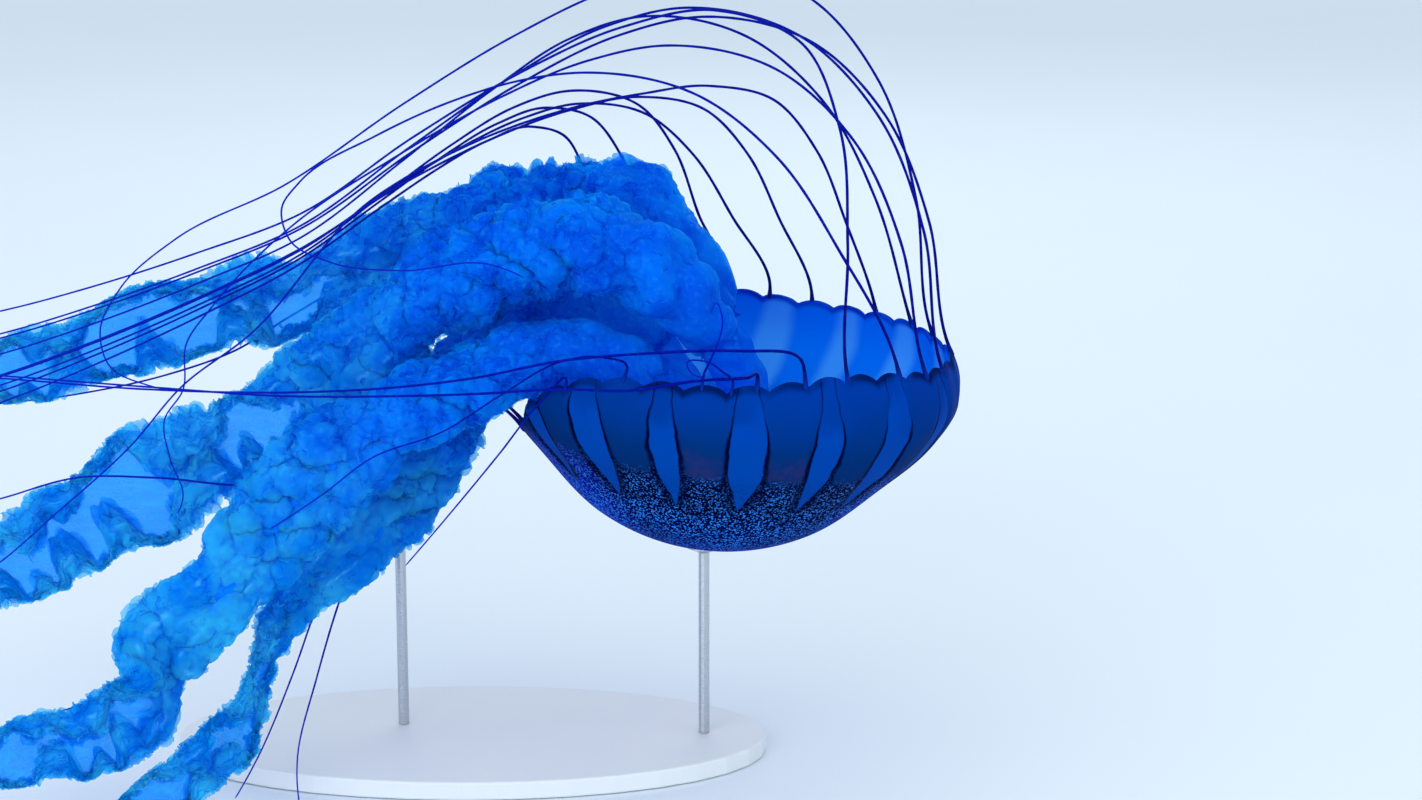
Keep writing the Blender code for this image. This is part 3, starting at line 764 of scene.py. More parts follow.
# %% routes of the four arms
# Place and half width of each arm along its length, in millimetres from the apex.
ARM_LINES = {
    "upper": [
        (19, 14, 46.5, 8), (28, 22, 86, 15), (12, 30, 134, 16), (-16, 38, 180, 28),
        (-48, 40, 211, 35), (-82, 42, 208, 35), (-130, 44, 202, 37), (-168, 42, 189, 35),
        (-210, 38, 170, 37), (-252, 36, 155, 26), (-287, 36, 149, 34), (-322, 34, 140, 26),
        (-354, 32, 132, 32), (-385, 28, 123, 25), (-418, 24, 113, 28), (-449, 20, 105, 21),
        (-487, 17, 93, 16), (-526, 14, 83, 10), (-560, 12, 78, 4),
    ],
    "middle": [
        (19, -12, 46.5, 8), (28, -21, 86, 15), (10, -34, 134, 16), (-20, -45, 178, 28),
        (-64, -48, 202, 35), (-117, -50, 198, 35), (-165, -48, 173, 37), (-205, -40, 139, 33),
        (-245, -26, 107, 34), (-283, -12, 80, 27), (-319, -8, 57, 38), (-353, -6, 38, 43),
        (-384, -10, 21, 32), (-412, -14, 6, 37), (-441, -20, -11, 29), (-475, -26, -25, 20),
        (-509, -32, -34, 12), (-534, -38, -37, 4),
    ],
    "lower": [
        (-5, 14, 48.8, 8), (-6, 22, 84, 9), (-18, 32, 106, 14), (-48, 38, 130, 23),
        (-90, 36, 133, 30), (-127, 33, 122, 30), (-157, 31, 94, 32), (-175, 16, 59, 34),
        (-193, -8, 31, 33), (-217, -34, 11, 30), (-249, -51, -16, 24), (-268, -80, -38, 20),
        (-274, -108, -60, 19), (-282, -136, -80, 25), (-303, -162, -95, 22),
        (-328, -180, -104, 14), (-349, -190, -110, 4),
    ],
    "outer": [
        (-5, -12, 48.8, 8), (-6, -24, 84, 9), (-18, -38, 106, 14), (-48, -50, 126, 21),
        (-96, -58, 138, 24), (-134, -77, 125, 28), (-173, -90, 111, 30), (-211, -99, 88, 34),
        (-245, -104, 60, 37), (-272, -108, 28, 34), (-299, -120, -2, 30), (-332, -124, -34, 34),
        (-339, -136, -63, 32), (-370, -150, -80, 27), (-405, -162, -84, 24),
        (-435, -178, -89, 15), (-459, -192, -98, 4),
    ],
}
ARM_SEEDS = {name: 1.0 + 11.0 * number for number, name in enumerate(ARM_LINES)}


def arm_line(name, step):
    """The smooth middle line of an arm, in metres, with its half width as a fourth number."""
    in_metres = [(*from_apex(point), point[3] * MM) for point in ARM_LINES[name]]
    return smooth_line(in_metres, step=step)


for arm_name in ARM_LINES:
    arm_length = distance_along(arm_line(arm_name, 0.01))[-1]
    print(arm_name, "arm", round(arm_length, 3), "m long")

# %% [markdown]
# To stand anything out from an arm, two directions are needed at each point of its line: one across
# it that is as level as can be, and the one above that. Both turn slowly along the arm.

# %% directions across an arm
EVEN_OUT = 4                       # points on each side over which a direction is evened out


def frames_along(line):
    """At each point, the most level direction across the line, and the one above it."""
    ahead = unit(np.gradient(line[:, :3], axis=0))
    level = np.cross(ahead, (0.0, 0.0, 1.0))
    upright = np.linalg.norm(level, axis=1)[:, None] < 0.2
    level = unit(np.where(upright, np.cross(ahead, (1.0, 0.0, 0.0)), level))
    # The direction may jump where an upright stretch ends.
    window = np.ones(2 * EVEN_OUT + 1) / (2 * EVEN_OUT + 1)
    padded = np.pad(level, ((EVEN_OUT, EVEN_OUT), (0, 0)), mode="edge")
    evened = [np.convolve(column, window, mode="valid") for column in padded.T]
    level = unit(np.stack(evened, axis=1))
    return level, np.cross(level, ahead)


first_level, first_upward = frames_along(arm_line("upper", 0.01))
print("across the upper arm's root", first_level[0].round(2), first_upward[0].round(2))

# %% [markdown]
# A wave that repeats exactly looks like a machine's pleat. This one drifts: its wavelength and its
# height wander slowly, by sines whose lengths have no common measure, so that it never repeats and
# is still the same on each run.

# %% drifting waves and scattered seeds
def drifting_wave(along, length, seed):
    """A wave between -1 and 1 that never quite repeats."""
    turn = 2 * math.pi * along / length
    drift = 1.7 * np.sin(turn / 3.7 + 2.1 * seed) + 1.2 * np.sin(turn / 6.1 + 4.7 * seed)
    swell = 0.72 + 0.28 * np.sin(turn / 5.3 + 3.3 * seed)
    return swell * np.sin(turn + drift + 1.9 * seed)


def scattered(cube, seed):
    """A place within each cube that looks random and is the same on each run."""
    stirred = cube @ np.array([(12.99, 39.35, 73.16), (78.23, 11.14, 52.24), (37.72, 83.16, 9.15)])
    return np.mod(np.sin(stirred + seed) * 43758.55, 1.0)


def nearest_seed(points, size, seed):
    """How far each point is from the nearest seed, with one seed in every cube of that size."""
    cube = np.floor(points / size)
    nearest = np.full(points.shape[:-1], 9.0)
    for step in itertools.product((-1, 0, 1), repeat=3):
        beside = cube + step
        seeds = beside + scattered(beside, seed)
        nearest = np.minimum(nearest, np.sum((points / size - seeds) ** 2, axis=-1))
    return np.sqrt(nearest)


from_corner = nearest_seed(np.zeros((1, 3)), 1.0, 1.0)
print("from one corner to the nearest seed", from_corner.round(3))

# %% [markdown]
# A ruffled margin folds over itself again and again until it looks like the head of a cauliflower:
# round lobes that carry smaller lobes, that carry smaller ones. Underneath, a lumpy body fills the
# folds. Seeds are scattered in space, each point of a plain tube is raised by how close it lies to
# a seed, and the same is done again on the raised skin with finer seeds.

# %% a lumpy skin
# Size and height of the lobes in metres, and their share in how high a point is said to stand.
LOBES = [(0.018, 0.0060, 0.5), (0.0080, 0.0042, 0.3), (0.0034, 0.0020, 0.2)]
LOBE_RADIUS = 0.85                 # as a share of the lobe's size


def pushed(sheet, push, away_from=None):
    """A sheet moved along its own normal, or along the side of it that faces away from a line."""
    ahead, across = np.gradient(sheet, axis=0), np.gradient(sheet, axis=1)
    normal = unit(np.cross(ahead, across))
    if away_from is not None:
        normal = normal * np.sign(np.sum(normal * (sheet - away_from), axis=-1, keepdims=True))
    return sheet + normal * push[..., None]


def with_lobes(skin, middle, size, seed):
    """The skin with lobes on lobes, and how high each point stands, from 0 in a crease to 1."""
    height = np.zeros(skin.shape[:2])
    for number, (across, lobe_height, part) in enumerate(LOBES):
        near = nearest_seed(skin, across, seed + 3.7 * number)
        dome = 1.0 - np.clip(near / LOBE_RADIUS, 0.0, 1.0) ** 1.6
        skin = pushed(skin, lobe_height * dome * size, middle)
        height = height + dome * part
    return skin, height


print("lobes", [f"{1000 * lobe[0]:.1f} mm" for lobe in LOBES])

# %% [markdown]
# Out of that body stand thin sheets, as the leaves do on a curly kale. Each is pushed to and fro
# along its own normal, first in long waves and then in shorter ones that only the free edge takes,
# and the edge itself is scalloped twice over.

# %% ruffles
# Wavelength and height in metres, and how far out from the rib each wave starts.
RUFFLES = [(0.024, 0.0040, 0.10), (0.0100, 0.0028, 0.30), (0.0048, 0.0013, 0.50)]
SCALLOPS = [(0.0075, 0.13), (0.0027, 0.07)]    # how wide, and how deep as a share of the sheet
FREE_SHARE = 0.90                  # nothing is drawn in up to this share of the arm's section


def ruffled(sheet, along, outward, seed):
    """The sheet pushed along its own normal by one wave after another, each shorter."""
    for number, (length, height, start) in enumerate(RUFFLES):
        # Waves lean to one side and the other, so that their crests don't all run straight out.
        lean = along + 0.40 * length * outward * (-1) ** number
        wave = drifting_wave(lean, length, seed + 7 * number)
        sheet = pushed(sheet, height * smooth_step(start, 1.0, outward) * wave)
    return sheet


def scalloped(along, outward, seed):
    """How far each place stands out, from 0 at the root to about 1 at the free edge."""
    reach = outward + 0.0 * along
    for width, depth in SCALLOPS:
        turn = math.pi * along / width + 1.5 * np.sin(along / (3.4 * width) + seed) + seed
        reach = reach + depth * outward**4 * (np.abs(np.sin(turn)) ** 0.7 - 0.8)
    return reach


def kept_within(sheet, centres, level, flat, reach):
    """Draws in what stands further from the middle line than the arm's oval section allows."""
    out = sheet - centres
    sideways = np.sum(out * level, axis=-1, keepdims=True) * level
    round_out = out + sideways * (1.0 / flat - 1.0)[..., None]
    distance = np.linalg.norm(round_out, axis=-1)
    free = FREE_SHARE * reach
    over = np.maximum(distance - free, 0.0)
    drawn = np.where(over > 0, free + (reach - free) * np.tanh(over / (reach - free)), distance)
    return centres + out * (drawn / np.maximum(distance, 1e-9))[..., None]


print("waves", [f"{1000 * length:.1f} mm" for length, height, start in RUFFLES])

# %% [markdown]
# Near the bell the frills stand out from the rib on all sides. Further out the rib widens into a
# film with one curly edge above and one below. Each edge is thick for a few centimetres
# and then almost bare, so the ribbon carries tufts with clear film between them.

# %% where the frills of an arm lie
FLAT = 0.65                        # an arm's section lies this flat further out
# Where along each arm the full round of frills opens into a ribbon with two curly edges.
RIBBON_OPENS = {"upper": 0.52, "middle": 0.56, "lower": 0.70, "outer": 0.76}
# For the upper edge, 1, and the lower, -1: the tufts' spacing, and the frills' half height where
# they are thin and thick, as a share of the arm's half width. Before the ribbon opens it is even.
TUFTS = {1: (0.084, 0.16, 0.58), -1: (0.061, 0.07, 0.62)}
CLOSED_TUFT = 0.66


def tuft_radius(place, share, opens, side, seed):
    """Half the height of the frills on one edge, as a share of the arm's half width."""
    length, thin, thick = TUFTS[side]
    wave = drifting_wave(place, length, seed + 5.0 * side)
    wave = 0.75 * wave + 0.45 * drifting_wave(place, 0.41 * length, seed + 9.0 * side)
    tuft = thin + (thick - thin) * smooth_step(-0.50, 0.55, wave)
    tuft = tuft + 0.05 * drifting_wave(place, 0.019, seed + 8.0 * side)
    return CLOSED_TUFT + (tuft - CLOSED_TUFT) * smooth_step(opens - 0.05, opens + 0.09, share)


def edge_offset(radius):
    """How far the middle of an edge's frills lies from the rib, as a share of the half width."""
    return 0.95 - 0.95 * radius


def stretch_of(name, begin, end, step):
    """What the frills need to know along one stretch of an arm, as columns of numbers."""
    line = arm_line(name, step)
    level, upward = frames_along(line)
    along = distance_along(line)
    chosen = np.flatnonzero((along >= begin * along[-1]) & (along <= end * along[-1]))
    share, opens = along[chosen, None] / along[-1], RIBBON_OPENS[name]
    return {
        "spot": line[chosen, None, :3], "half": line[chosen, None, 3], "place": along[chosen, None],
        "share": share, "level": level[chosen, None], "upward": upward[chosen, None],
        "flat": 1.0 - (1.0 - FLAT) * smooth_step(0.42, 0.62, share),
        "crisp": 0.30 + 0.70 * smooth_step(0.15, 0.31, share),    # small frills by the mouth
        "thin": smooth_step(0.36, 0.66, share),
        "ribbon": smooth_step(opens - 0.05, opens + 0.08, share),
    }


def middle_and_radius(name, arm, side, seed):
    """The middle line of the frills and how far they reach: round the rib, or round one edge."""
    if side == 0:
        return arm["spot"] + 0.0, arm["half"] + 0.0
    size = tuft_radius(arm["place"], arm["share"], RIBBON_OPENS[name], side, seed)
    aside = arm["upward"] * (side * edge_offset(size) * arm["half"])[..., None]
    return arm["spot"] + aside, size * arm["half"]


for arm_name in ARM_LINES:
    spots = stretch_of(arm_name, 0.0, 1.0, 0.01)["half"]
    print(arm_name, "arm at its widest", round(2 * float(spots.max()), 3), "m")

# %% [markdown]
# Every stretch of frills is made of two pieces: the lumpy body, which is one closed skin, and the
# sheets that stand out from it. Both are drawn round the same middle line with the same slow waves,
# so that where the body swells the sheets swell too. What would stand out further than the frame's
# plain solid is drawn in again, softly, so nothing is cut off flat.

# %% body and sheets
BODY_STEP = 0.0014                 # how far apart a body's points lie along the arm
BODY_END = 0.010                   # the length over which a body rounds off at its ends
SHEET_ROWS = 9
SHEETS_ROUND = {0: 18, 1: 14, -1: 14}    # round the rib, the upper edge and the lower edge
coarser = 1   # arms and threads, again for a quick try-out only


def spread_out(arm, angle, reach, middle):
    """Points that far from the middle line, at an angle from straight above."""
    above, beside = np.cos(angle)[..., None], (arm["flat"] * np.sin(angle))[..., None]
    return middle + (arm["upward"] * above + arm["level"] * beside) * reach[..., None]


def swelling(place, angle, side, seed):
    """The slow wave that body and sheets share."""
    return drifting_wave(place + 0.010 * np.sin(2 * angle), 0.036, seed + 3.0 * side)


def fitted(sheet, arm):
    shape = sheet.shape[:2]
    flat, half = np.broadcast_to(arm["flat"], shape), np.broadcast_to(arm["half"], shape)
    return kept_within(sheet, arm["spot"], arm["level"], flat, half)


def lumpy_body(name, arm, side, seed):
    """The closed skin under the sheets, and how high its points stand."""
    middle, radius = middle_and_radius(name, arm, side, seed)
    place = arm["place"]
    ends = np.minimum(place - place.min(), place.max() - place) / BODY_END
    filling = 0.54 - 0.22 * arm["ribbon"] if side else 0.94 - 0.38 * arm["crisp"]
    radius = radius * filling * np.sqrt(np.clip(ends, 0.02, 1.0))
    columns = int(2 * math.pi * np.max(radius) * 1.4 / (BODY_STEP * coarser))
    turn = np.linspace(0, 2 * math.pi, columns, endpoint=False)[None, :]
    lumps = 1.0 + 0.18 * swelling(place, turn, side, seed)
    skin = spread_out(arm, turn + 0.0 * radius, radius * lumps, middle)
    size = arm["crisp"] * np.clip(radius / 0.012, 0.2, 1.0)
    skin, height = with_lobes(skin, middle, size, seed + side)
    return fitted(skin, arm), height


def frill_sheet(name, arm, side, turn, own, seed):
    """One ruffled sheet that stands out from the body, and how far out its points lie."""
    middle, radius = middle_and_radius(name, arm, side, seed)
    place, outward = arm["place"], np.linspace(0.0, 1.0, SHEET_ROWS)[None, :] ** 0.8
    angle = turn + 0.40 * drifting_wave(place, 0.080, own)
    angle = angle + 0.35 * outward * drifting_wave(place, 0.031, own + 2.0)
    lumps = swelling(place, angle, side, seed)
    # Puffs are round with sharp notches between them.
    puffs = drifting_wave(place + 0.005 * np.sin(3 * angle + seed), 0.026, seed + 6.0 * side)
    puffs = 2 * np.abs(puffs) ** 0.7 - 1
    reach = radius * (0.82 + 0.17 * lumps + (0.20 if side else 0.11) * puffs)
    reach = reach * (0.36 + 0.64 * scalloped(place, outward, own))
    sheet = spread_out(arm, angle, reach, middle)
    sheet = ruffled(sheet, place + 0.0 * outward, outward * arm["crisp"], own)
    return fitted(sheet, arm), outward + 0.0 * place


def frill_sheets(name, arm, side, seed):
    """All the sheets round one middle line, each with waves of its own."""
    number = np.arange(SHEETS_ROUND[side])
    turns = number * 2 * math.pi / SHEETS_ROUND[side]
    own = seed + side + 1.37 * number
    return [frill_sheet(name, arm, side, *pair, seed) for pair in zip(turns, own)]


print("sheets round the rib and round each edge", SHEETS_ROUND[0], SHEETS_ROUND[1])

# %% [markdown]
# Film lets light through and tints it, so the skin is part see-through and part scattering: a
# Transparent shader with a blue tint is mixed with the Principled one. One layer is pale. Where
# many lie behind each other the blue deepens by itself, as it does in the animal.

# %% finish of the frills
FRILL_DARK = srgb(0, 102, 234)
FRILL_BRIGHT = srgb(1, 124, 246)
SPARSE_DARK = srgb(6, 150, 250)
SPARSE_BRIGHT = srgb(50, 192, 255)
FRILL_FLECK = srgb(50, 170, 255)
FRILL_TINT = (0.32, 0.75, 1.0, 1.0)
SPARSE_TINT = (0.40, 0.79, 1.0, 1.0)


def see_through(shader, share_solid, tint):
    """Mixes a tinted Transparent shader in, so that share_solid of the surface scatters light."""
    tree = share_solid.tree
    clear = put(tree, "ShaderNodeBsdfTransparent", {"Color": tint})
    inputs = {0: share_solid, 1: Wire(clear.outputs[0]), 2: Wire(shader.outputs[0])}
    mix = put(tree, "ShaderNodeMixShader", inputs)
    Wire(mix.outputs[0]).into(tree.nodes["Material Output"], "Surface")


frill_jelly, shader, where = new_finish(
    "frill jelly", 0.65, IOR=WATERY, Specular_IOR_Level=0.03,
    Subsurface_Weight=0.8, Subsurface_Radius=(0.25, 0.7, 1.0), Subsurface_Scale=0.014,
)
thin, outward = mark(where, "thin"), mark(where, "outward")
blotch, grain = noise(where, 0.030, detail=3.0), noise(where, 0.0030)
blotched = rise(blotch, 0.38, 0.64)
dense = mixed(blotched, FRILL_DARK, FRILL_BRIGHT)
sparse = mixed(blotched, SPARSE_DARK, SPARSE_BRIGHT)
colour = mixed(rise(grain, 0.50, 0.75) * 0.25, mixed(thin, dense, sparse), FRILL_FLECK)
colour.into(shader, "Base Color")
# The further out along the arm and the nearer the free margin, the clearer the film.
solid = 0.58 - thin * 0.18 + blotch * 0.2 - rise(outward, 0.70, 1.0) * 0.28
see_through(shader, solid, mixed(thin, FRILL_TINT, SPARSE_TINT))
bump(shader, grain, 0.0004)
print("nodes in the frills' finish", len(frill_jelly.node_tree.nodes))

# %% [markdown]
# Each arm's frills are six pieces: body and sheets round the rib near the bell, and the same on the
# upper and the lower edge of the ribbon further out. The near and far stretches overlap a little,
# so no gap shows where they meet.

# %% make the frills
NEAR_STRETCH = (0.13, 0.47)        # as shares of the arm's length
FAR_STRETCH = (0.45, 1.0)
STRETCHES = [
    # name, side, stretch, how far apart the sheets' points lie, and which half of the arm it is
    ("near", 0, NEAR_STRETCH, 0.00080, "near"),
    ("upper_edge", 1, FAR_STRETCH, 0.00095, "far"),
    ("lower_edge", -1, FAR_STRETCH, 0.00095, "far"),
]


def frill_piece(name, made, thin, closed, stands_for):
    """One piece made of skins, each with how far out its points stand."""
    skins, outwards = zip(*made)
    marks = [{"outward": outward, "thin": thin + 0.0 * outward} for outward in outwards]
    maps = []
    for number, skin in enumerate(skins):
        rows, columns = skin.shape[:2]
        low, high = (number + 0.05) / len(skins), (number + 0.95) / len(skins)
        maps.append(flat_map(rows, columns + closed, low, high))
    piece(sheet_mesh(name, skins, maps, marks, closed), frill_jelly, stands_for)


for arm_name, seed in ARM_SEEDS.items():
    for part, side, stretch, sheet_step, half_of_arm in STRETCHES:
        name, stands_for = f"{arm_name}_arm_{part}", [f"arm_{arm_name}_{half_of_arm}"]
        arm = stretch_of(arm_name, *stretch, BODY_STEP * coarser)
        skin, height = lumpy_body(arm_name, arm, side, seed)
        frill_piece(f"{name}_body", [(skin, 0.5 * height)], arm["thin"], True, stands_for)
        arm = stretch_of(arm_name, *stretch, sheet_step * coarser)
        made = frill_sheets(arm_name, arm, side, seed)
        frill_piece(f"{name}_frills", made, arm["thin"], False, stands_for)
    print(arm_name, [count for name, count in made_pieces[-6:]], "triangles")

# %% [markdown]
# Inside the frills runs the smooth part of each arm: the rib with its film. By the mouth it is a
# thick clear stem, in the cloud of frills it is a lumpy core that keeps daylight from showing
# through, and further out it flattens into the ribbon that carries the frills on its edges.

# %% ribs and ribbons
RIB_SIDES = 40
RIB_STEP = 0.002
RIB_END = 0.004                    # the length over which a rib rounds off at its ends
STEM_WIDTH = [0.98, 0.95, 0.60, 0.34, 0.0]     # from the mouth to where the ribbon opens
FILM_DEPTH = 0.04                  # half the film's thickness, as a share of the arm's half width


def rib_rings(name, seed):
    """Rings along the whole arm, ovals that start round and end as a thin ribbon, and marks."""
    line = arm_line(name, RIB_STEP)
    level, upward = frames_along(line)
    along = distance_along(line)
    share, half, opens = along / along[-1], line[:, 3], RIBBON_OPENS[name]
    stem = np.interp(share, [0.0, 0.08, 0.16, opens - 0.10, opens + 0.06], STEM_WIDTH)
    film = smooth_step(opens - 0.12, opens + 0.02, share)
    above, below = [
        half * np.maximum(stem, film * edge_offset(tuft_radius(along, share, opens, side, seed)))
        for side in (1, -1)
    ]
    deep = half * np.maximum(0.92 * stem, FILM_DEPTH)
    ends = np.sqrt(np.clip(np.minimum(along, along[-1] - along) / RIB_END, 0.0, 1.0))
    turn = np.linspace(0, 2 * math.pi, RIB_SIDES, endpoint=False)
    tall = np.where(np.cos(turn) > 0, above[:, None], below[:, None])
    lumps = drifting_wave(along[:, None] + 0.012 * np.sin(turn + seed), 0.034, seed)
    lumps = 1.0 + 0.10 * lumps * ends[:, None]
    sway = 0.18 * smooth_step(opens - 0.1, opens + 0.1, share) * half
    sway = sway * drifting_wave(along, 0.075, seed + 2)
    rings = (
        line[:, None, :3]
        + upward[:, None] * (tall * ends[:, None] * np.cos(turn) * lumps)[..., None]
        + level[:, None] * ((deep * ends)[:, None] * np.sin(turn) * lumps)[..., None]
        + level[:, None] * (sway[:, None] * np.cos(2 * turn) * ends[:, None])[..., None]
    )
    ribbon = smooth_step(opens - 0.08, opens + 0.06, share)
    return rings, {"along": share[:, None] + 0 * tall, "ribbon": ribbon[:, None] + 0 * tall}


def closed_piece(name, rings, marks, finish, stands_for, place=Matrix.Identity(4)):
    """A piece from rings that close up at both ends."""
    rows, columns = rings.shape[:2]
    mesh = sheet_mesh(name, [rings], [flat_map(rows, columns + 1)], [marks])
    weld(mesh)
    piece(mesh, finish, stands_for, place)


print("points in the upper arm's rib", rib_rings("upper", 1.0)[0].shape[:2])

# %% [markdown]
# The rib's finish is clear jelly with fine veins, which are noise drawn out along the animal. The
# core near the bell is nearly solid, and the film of the ribbon lets most of the light through.

# %% finish of the ribs, and the ribs
CORE_DARK = srgb(0, 104, 236)
CORE_BRIGHT = srgb(4, 134, 250)
FILM_DARK = srgb(6, 136, 246)
FILM_BRIGHT = srgb(40, 168, 254)
FILM_TINT = (0.34, 0.76, 1.0, 1.0)

smooth_film, shader, where = new_finish("smooth film", 0.50, IOR=WATERY, Specular_IOR_Level=0.01)
along, ribbon = mark(where, "along"), mark(where, "ribbon")
vein = noise(scaled(where, (0.25, 1.0, 1.0)), 0.006, detail=3.0)
veined = rise(vein, 0.35, 0.70)
near, far = mixed(veined, CORE_DARK, CORE_BRIGHT), mixed(veined, FILM_DARK, FILM_BRIGHT)
mixed(ribbon, near, far).into(shader, "Base Color")
core = ramp(along, [(0.0, 0.45), (0.14, 0.50), (0.20, 0.80)])
film = ramp(vein, [(0.35, 0.28), (0.65, 0.46)])
see_through(shader, mixed(ribbon, core, film), FILM_TINT)
bump(shader, vein, 0.0003)

for arm_name, seed in ARM_SEEDS.items():
    stands_for = [f"arm_{arm_name}_near", f"arm_{arm_name}_far"]
    rings, marks = rib_rings(arm_name, seed)
    closed_piece(f"{arm_name}_arm_rib", rings, marks, smooth_film, stands_for)
print("ribs", made_pieces[-4:])

# %% [markdown]
# The four arms part from a short stalk that hangs from the ceiling of the stomach; here, upside
# down, it stands on the floor of the bowl. It is a turned shape with four soft pillars.

# %% mouth stalk
STALK_ROWS, STALK_SIDES = 60, 96
STALK_RADII = [
    (0.0, 0.0215), (0.12, 0.0205), (0.35, 0.0165), (0.62, 0.0150), (0.82, 0.0185), (0.94, 0.0205),
    (1.0, 0.0195),
]
stalk_low, stalk_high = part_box("mouth_stalk")
stalk_height = (stalk_high.z - stalk_low.z) * 0.98
stalk_foot = jelly_thickness(0.0) + 0.001
climb = np.linspace(0.0, 1.0, STALK_ROWS)[:, None]
turn = np.linspace(0, 2 * math.pi, STALK_SIDES, endpoint=False)[None, :]
radius = np.interp(climb, *zip(*STALK_RADII)) * (0.93 + 0.06 * np.cos(4 * turn))
radius = radius * np.sqrt(np.clip(np.minimum(climb, 1 - climb) / 0.03, 0.0, 1.0))
rings = round_axis(turn, radius, stalk_foot + stalk_height * climb + 0 * turn)
marks = {"along": 0.12 * climb + 0 * turn, "ribbon": 0 * climb + 0 * turn}
stands_for = ["mouth_stalk"]
closed_piece("mouth_stalk_jelly", rings, marks, smooth_film, stands_for, BELL_PLACE)
print("stalk", made_pieces[-1])

# %% [markdown]
# ## The tentacles
#
# Twenty-four threads leave the rim between the lappets. Most arch up over the bell and come down
# behind it in one loose bundle; a few wind out under the arms, and four are short. Their routes are
# the frame's, worked out again from the same few numbers, and drawn much more finely.

# %% routes of the tentacles
TENTACLE_RADIUS = 0.0010
TENTACLE_TIP_RADIUS = 0.00045
BUNDLE_DEPTH = 0.13                # depth where arches run together, over that at their tops
BUNDLE_RISE = 0.18                 # mm of height there for each degree round the rim
BUNDLE_STAGGER = 4.0               # mm, to one side and the other in turn
BUNDLE_FAN = 0.3                   # how much wider the bundle gets at each point of its tail
ARRIVE = np.array((-0.82, 0.0, -0.57))     # the direction in which an arch comes down
ROOT_RUN = 0.006                   # how far a thread runs straight out of the rim
GAP = 0.0004
SHORT_FACTOR = 0.7                 # how thick the short ones are, beside the others
# Degrees round the rim from the back, the top of the arch, how upright it leaves, and its tail.
ARCHES = [
    (0, (-86, 46, 283), 0.25, "stream"),
    (24, (-42, 66, 276), 0.30, "stream"),
    (12, (-80, 76, 270), 0.30, "stream"),
    (44, (4, 60, 284), 0.35, "diagonal"),
    (58, (-40, 40, 331), 0.60, "stream"),
    (72, (-2, 20, 363), 0.75, "wide_loop"),
    (92, (0, 4, 336), 0.75, "stream"),
    (110, (-12, -14, 344), 0.80, "stream"),
    (121, (-22, -36, 324), 0.75, "drop"),
    (132, (-73, -66, 312), 0.40, "hook_back"),
    (149, (6, -54, 348), 0.75, "stream"),
    (-30, (-112, 94, 252), 0.20, "stream"),
    (-16, (-102, 84, 266), 0.25, "stream"),
]
TAILS = {
    "stream": [
        (-247, -50, 204), (-309, -50, 175), (-373, -46, 148), (-436, -42, 125),
        (-500, -40, 108), (-565, -42, 94),
    ],
    "diagonal": [
        (-204, -56, 231), (-276, -76, 153), (-321, -64, 117), (-354, -62, 79), (-403, -64, 35),
        (-437, -68, 6), (-475, -72, -17),
    ],
    "wide_loop": [
        (-254, -64, 243), (-321, -66, 210), (-356, -68, 179), (-368, -72, 154),
        (-363, -74, 133), (-339, -76, 121), (-319, -78, 118),
    ],
    "drop": [
        (-247, -80, 222), (-299, -80, 170), (-314, -82, 149), (-317, -84, 120),
        (-329, -84, 101), (-326, -86, 77), (-319, -86, 53), (-323, -86, 42),
    ],
    "hook_back": [
        (-243, -84, 248), (-253, -88, 234), (-248, -94, 215), (-224, -100, 203),
        (-181, -106, 199), (-127, -108, 203), (-107, -104, 194),
    ],
}
WINDING = {
    161: [
        (54, -147, 157), (22, -150, 160), (-37, -132, 154), (-87, -122, 147), (-135, -130, 139),
        (-189, -136, 134), (-244, -134, 131), (-336, -114, 128), (-428, -94, 130),
        (-509, -80, 131),
    ],
    173: [
        (26, -151, 144), (-2, -154, 143), (-44, -150, 136), (-86, -143, 135), (-134, -146, 133),
        (-188, -148, 132), (-243, -144, 131), (-334, -124, 132), (-426, -104, 134),
        (-494, -92, 135),
    ],
    256: [
        (-146, -30, 106), (-182, -36, 92), (-226, -58, 68), (-280, -60, 54), (-340, -52, 56),
        (-390, -52, 56), (-440, -52, 42), (-500, -48, 28),
    ],
    268: [
        (-148, -10, 106), (-188, -30, 72), (-228, -56, 32), (-262, -76, 6), (-293, -94, -36),
        (-340, -92, -60), (-390, -100, -78), (-440, -104, -92),
    ],
    296: [
        (-130, 76, 110), (-162, 86, 88), (-198, 84, 48), (-228, 66, 2), (-248, 30, -42),
        (-262, -30, -80), (-276, -96, -110), (-286, -140, -123),
    ],
    307: [
        (-118, 96, 112), (-156, 104, 86), (-190, 104, 44), (-218, 84, -4), (-236, 48, -46),
        (-248, -20, -86), (-252, -100, -112), (-246, -146, -123),
    ],
    318: [
        (-104, 106, 126), (-134, 108, 144), (-180, 104, 156), (-226, 96, 150), (-270, 88, 128),
        (-306, 84, 106), (-352, 80, 90), (-410, 76, 78), (-480, 74, 70), (-540, 70, 64),
    ],
}
SHORT = {
    179: [(12, -138, 144), (2, -131, 149), (-10, -130, 148), (-8, -131, 143), (2, -133, 140)],
    186: [(4, -142, 152), (11, -136, 178), (8, -137, 186), (4, -140, 180)],
    205: [
        (-60, -124, 150), (-86, -120, 146), (-120, -122, 127), (-156, -136, 107),
        (-197, -147, 94), (-226, -152, 73), (-258, -154, 52),
    ],
    220: [(-98, -114, 120), (-123, -114, 88), (-150, -121, 56), (-180, -130, 22)],
}


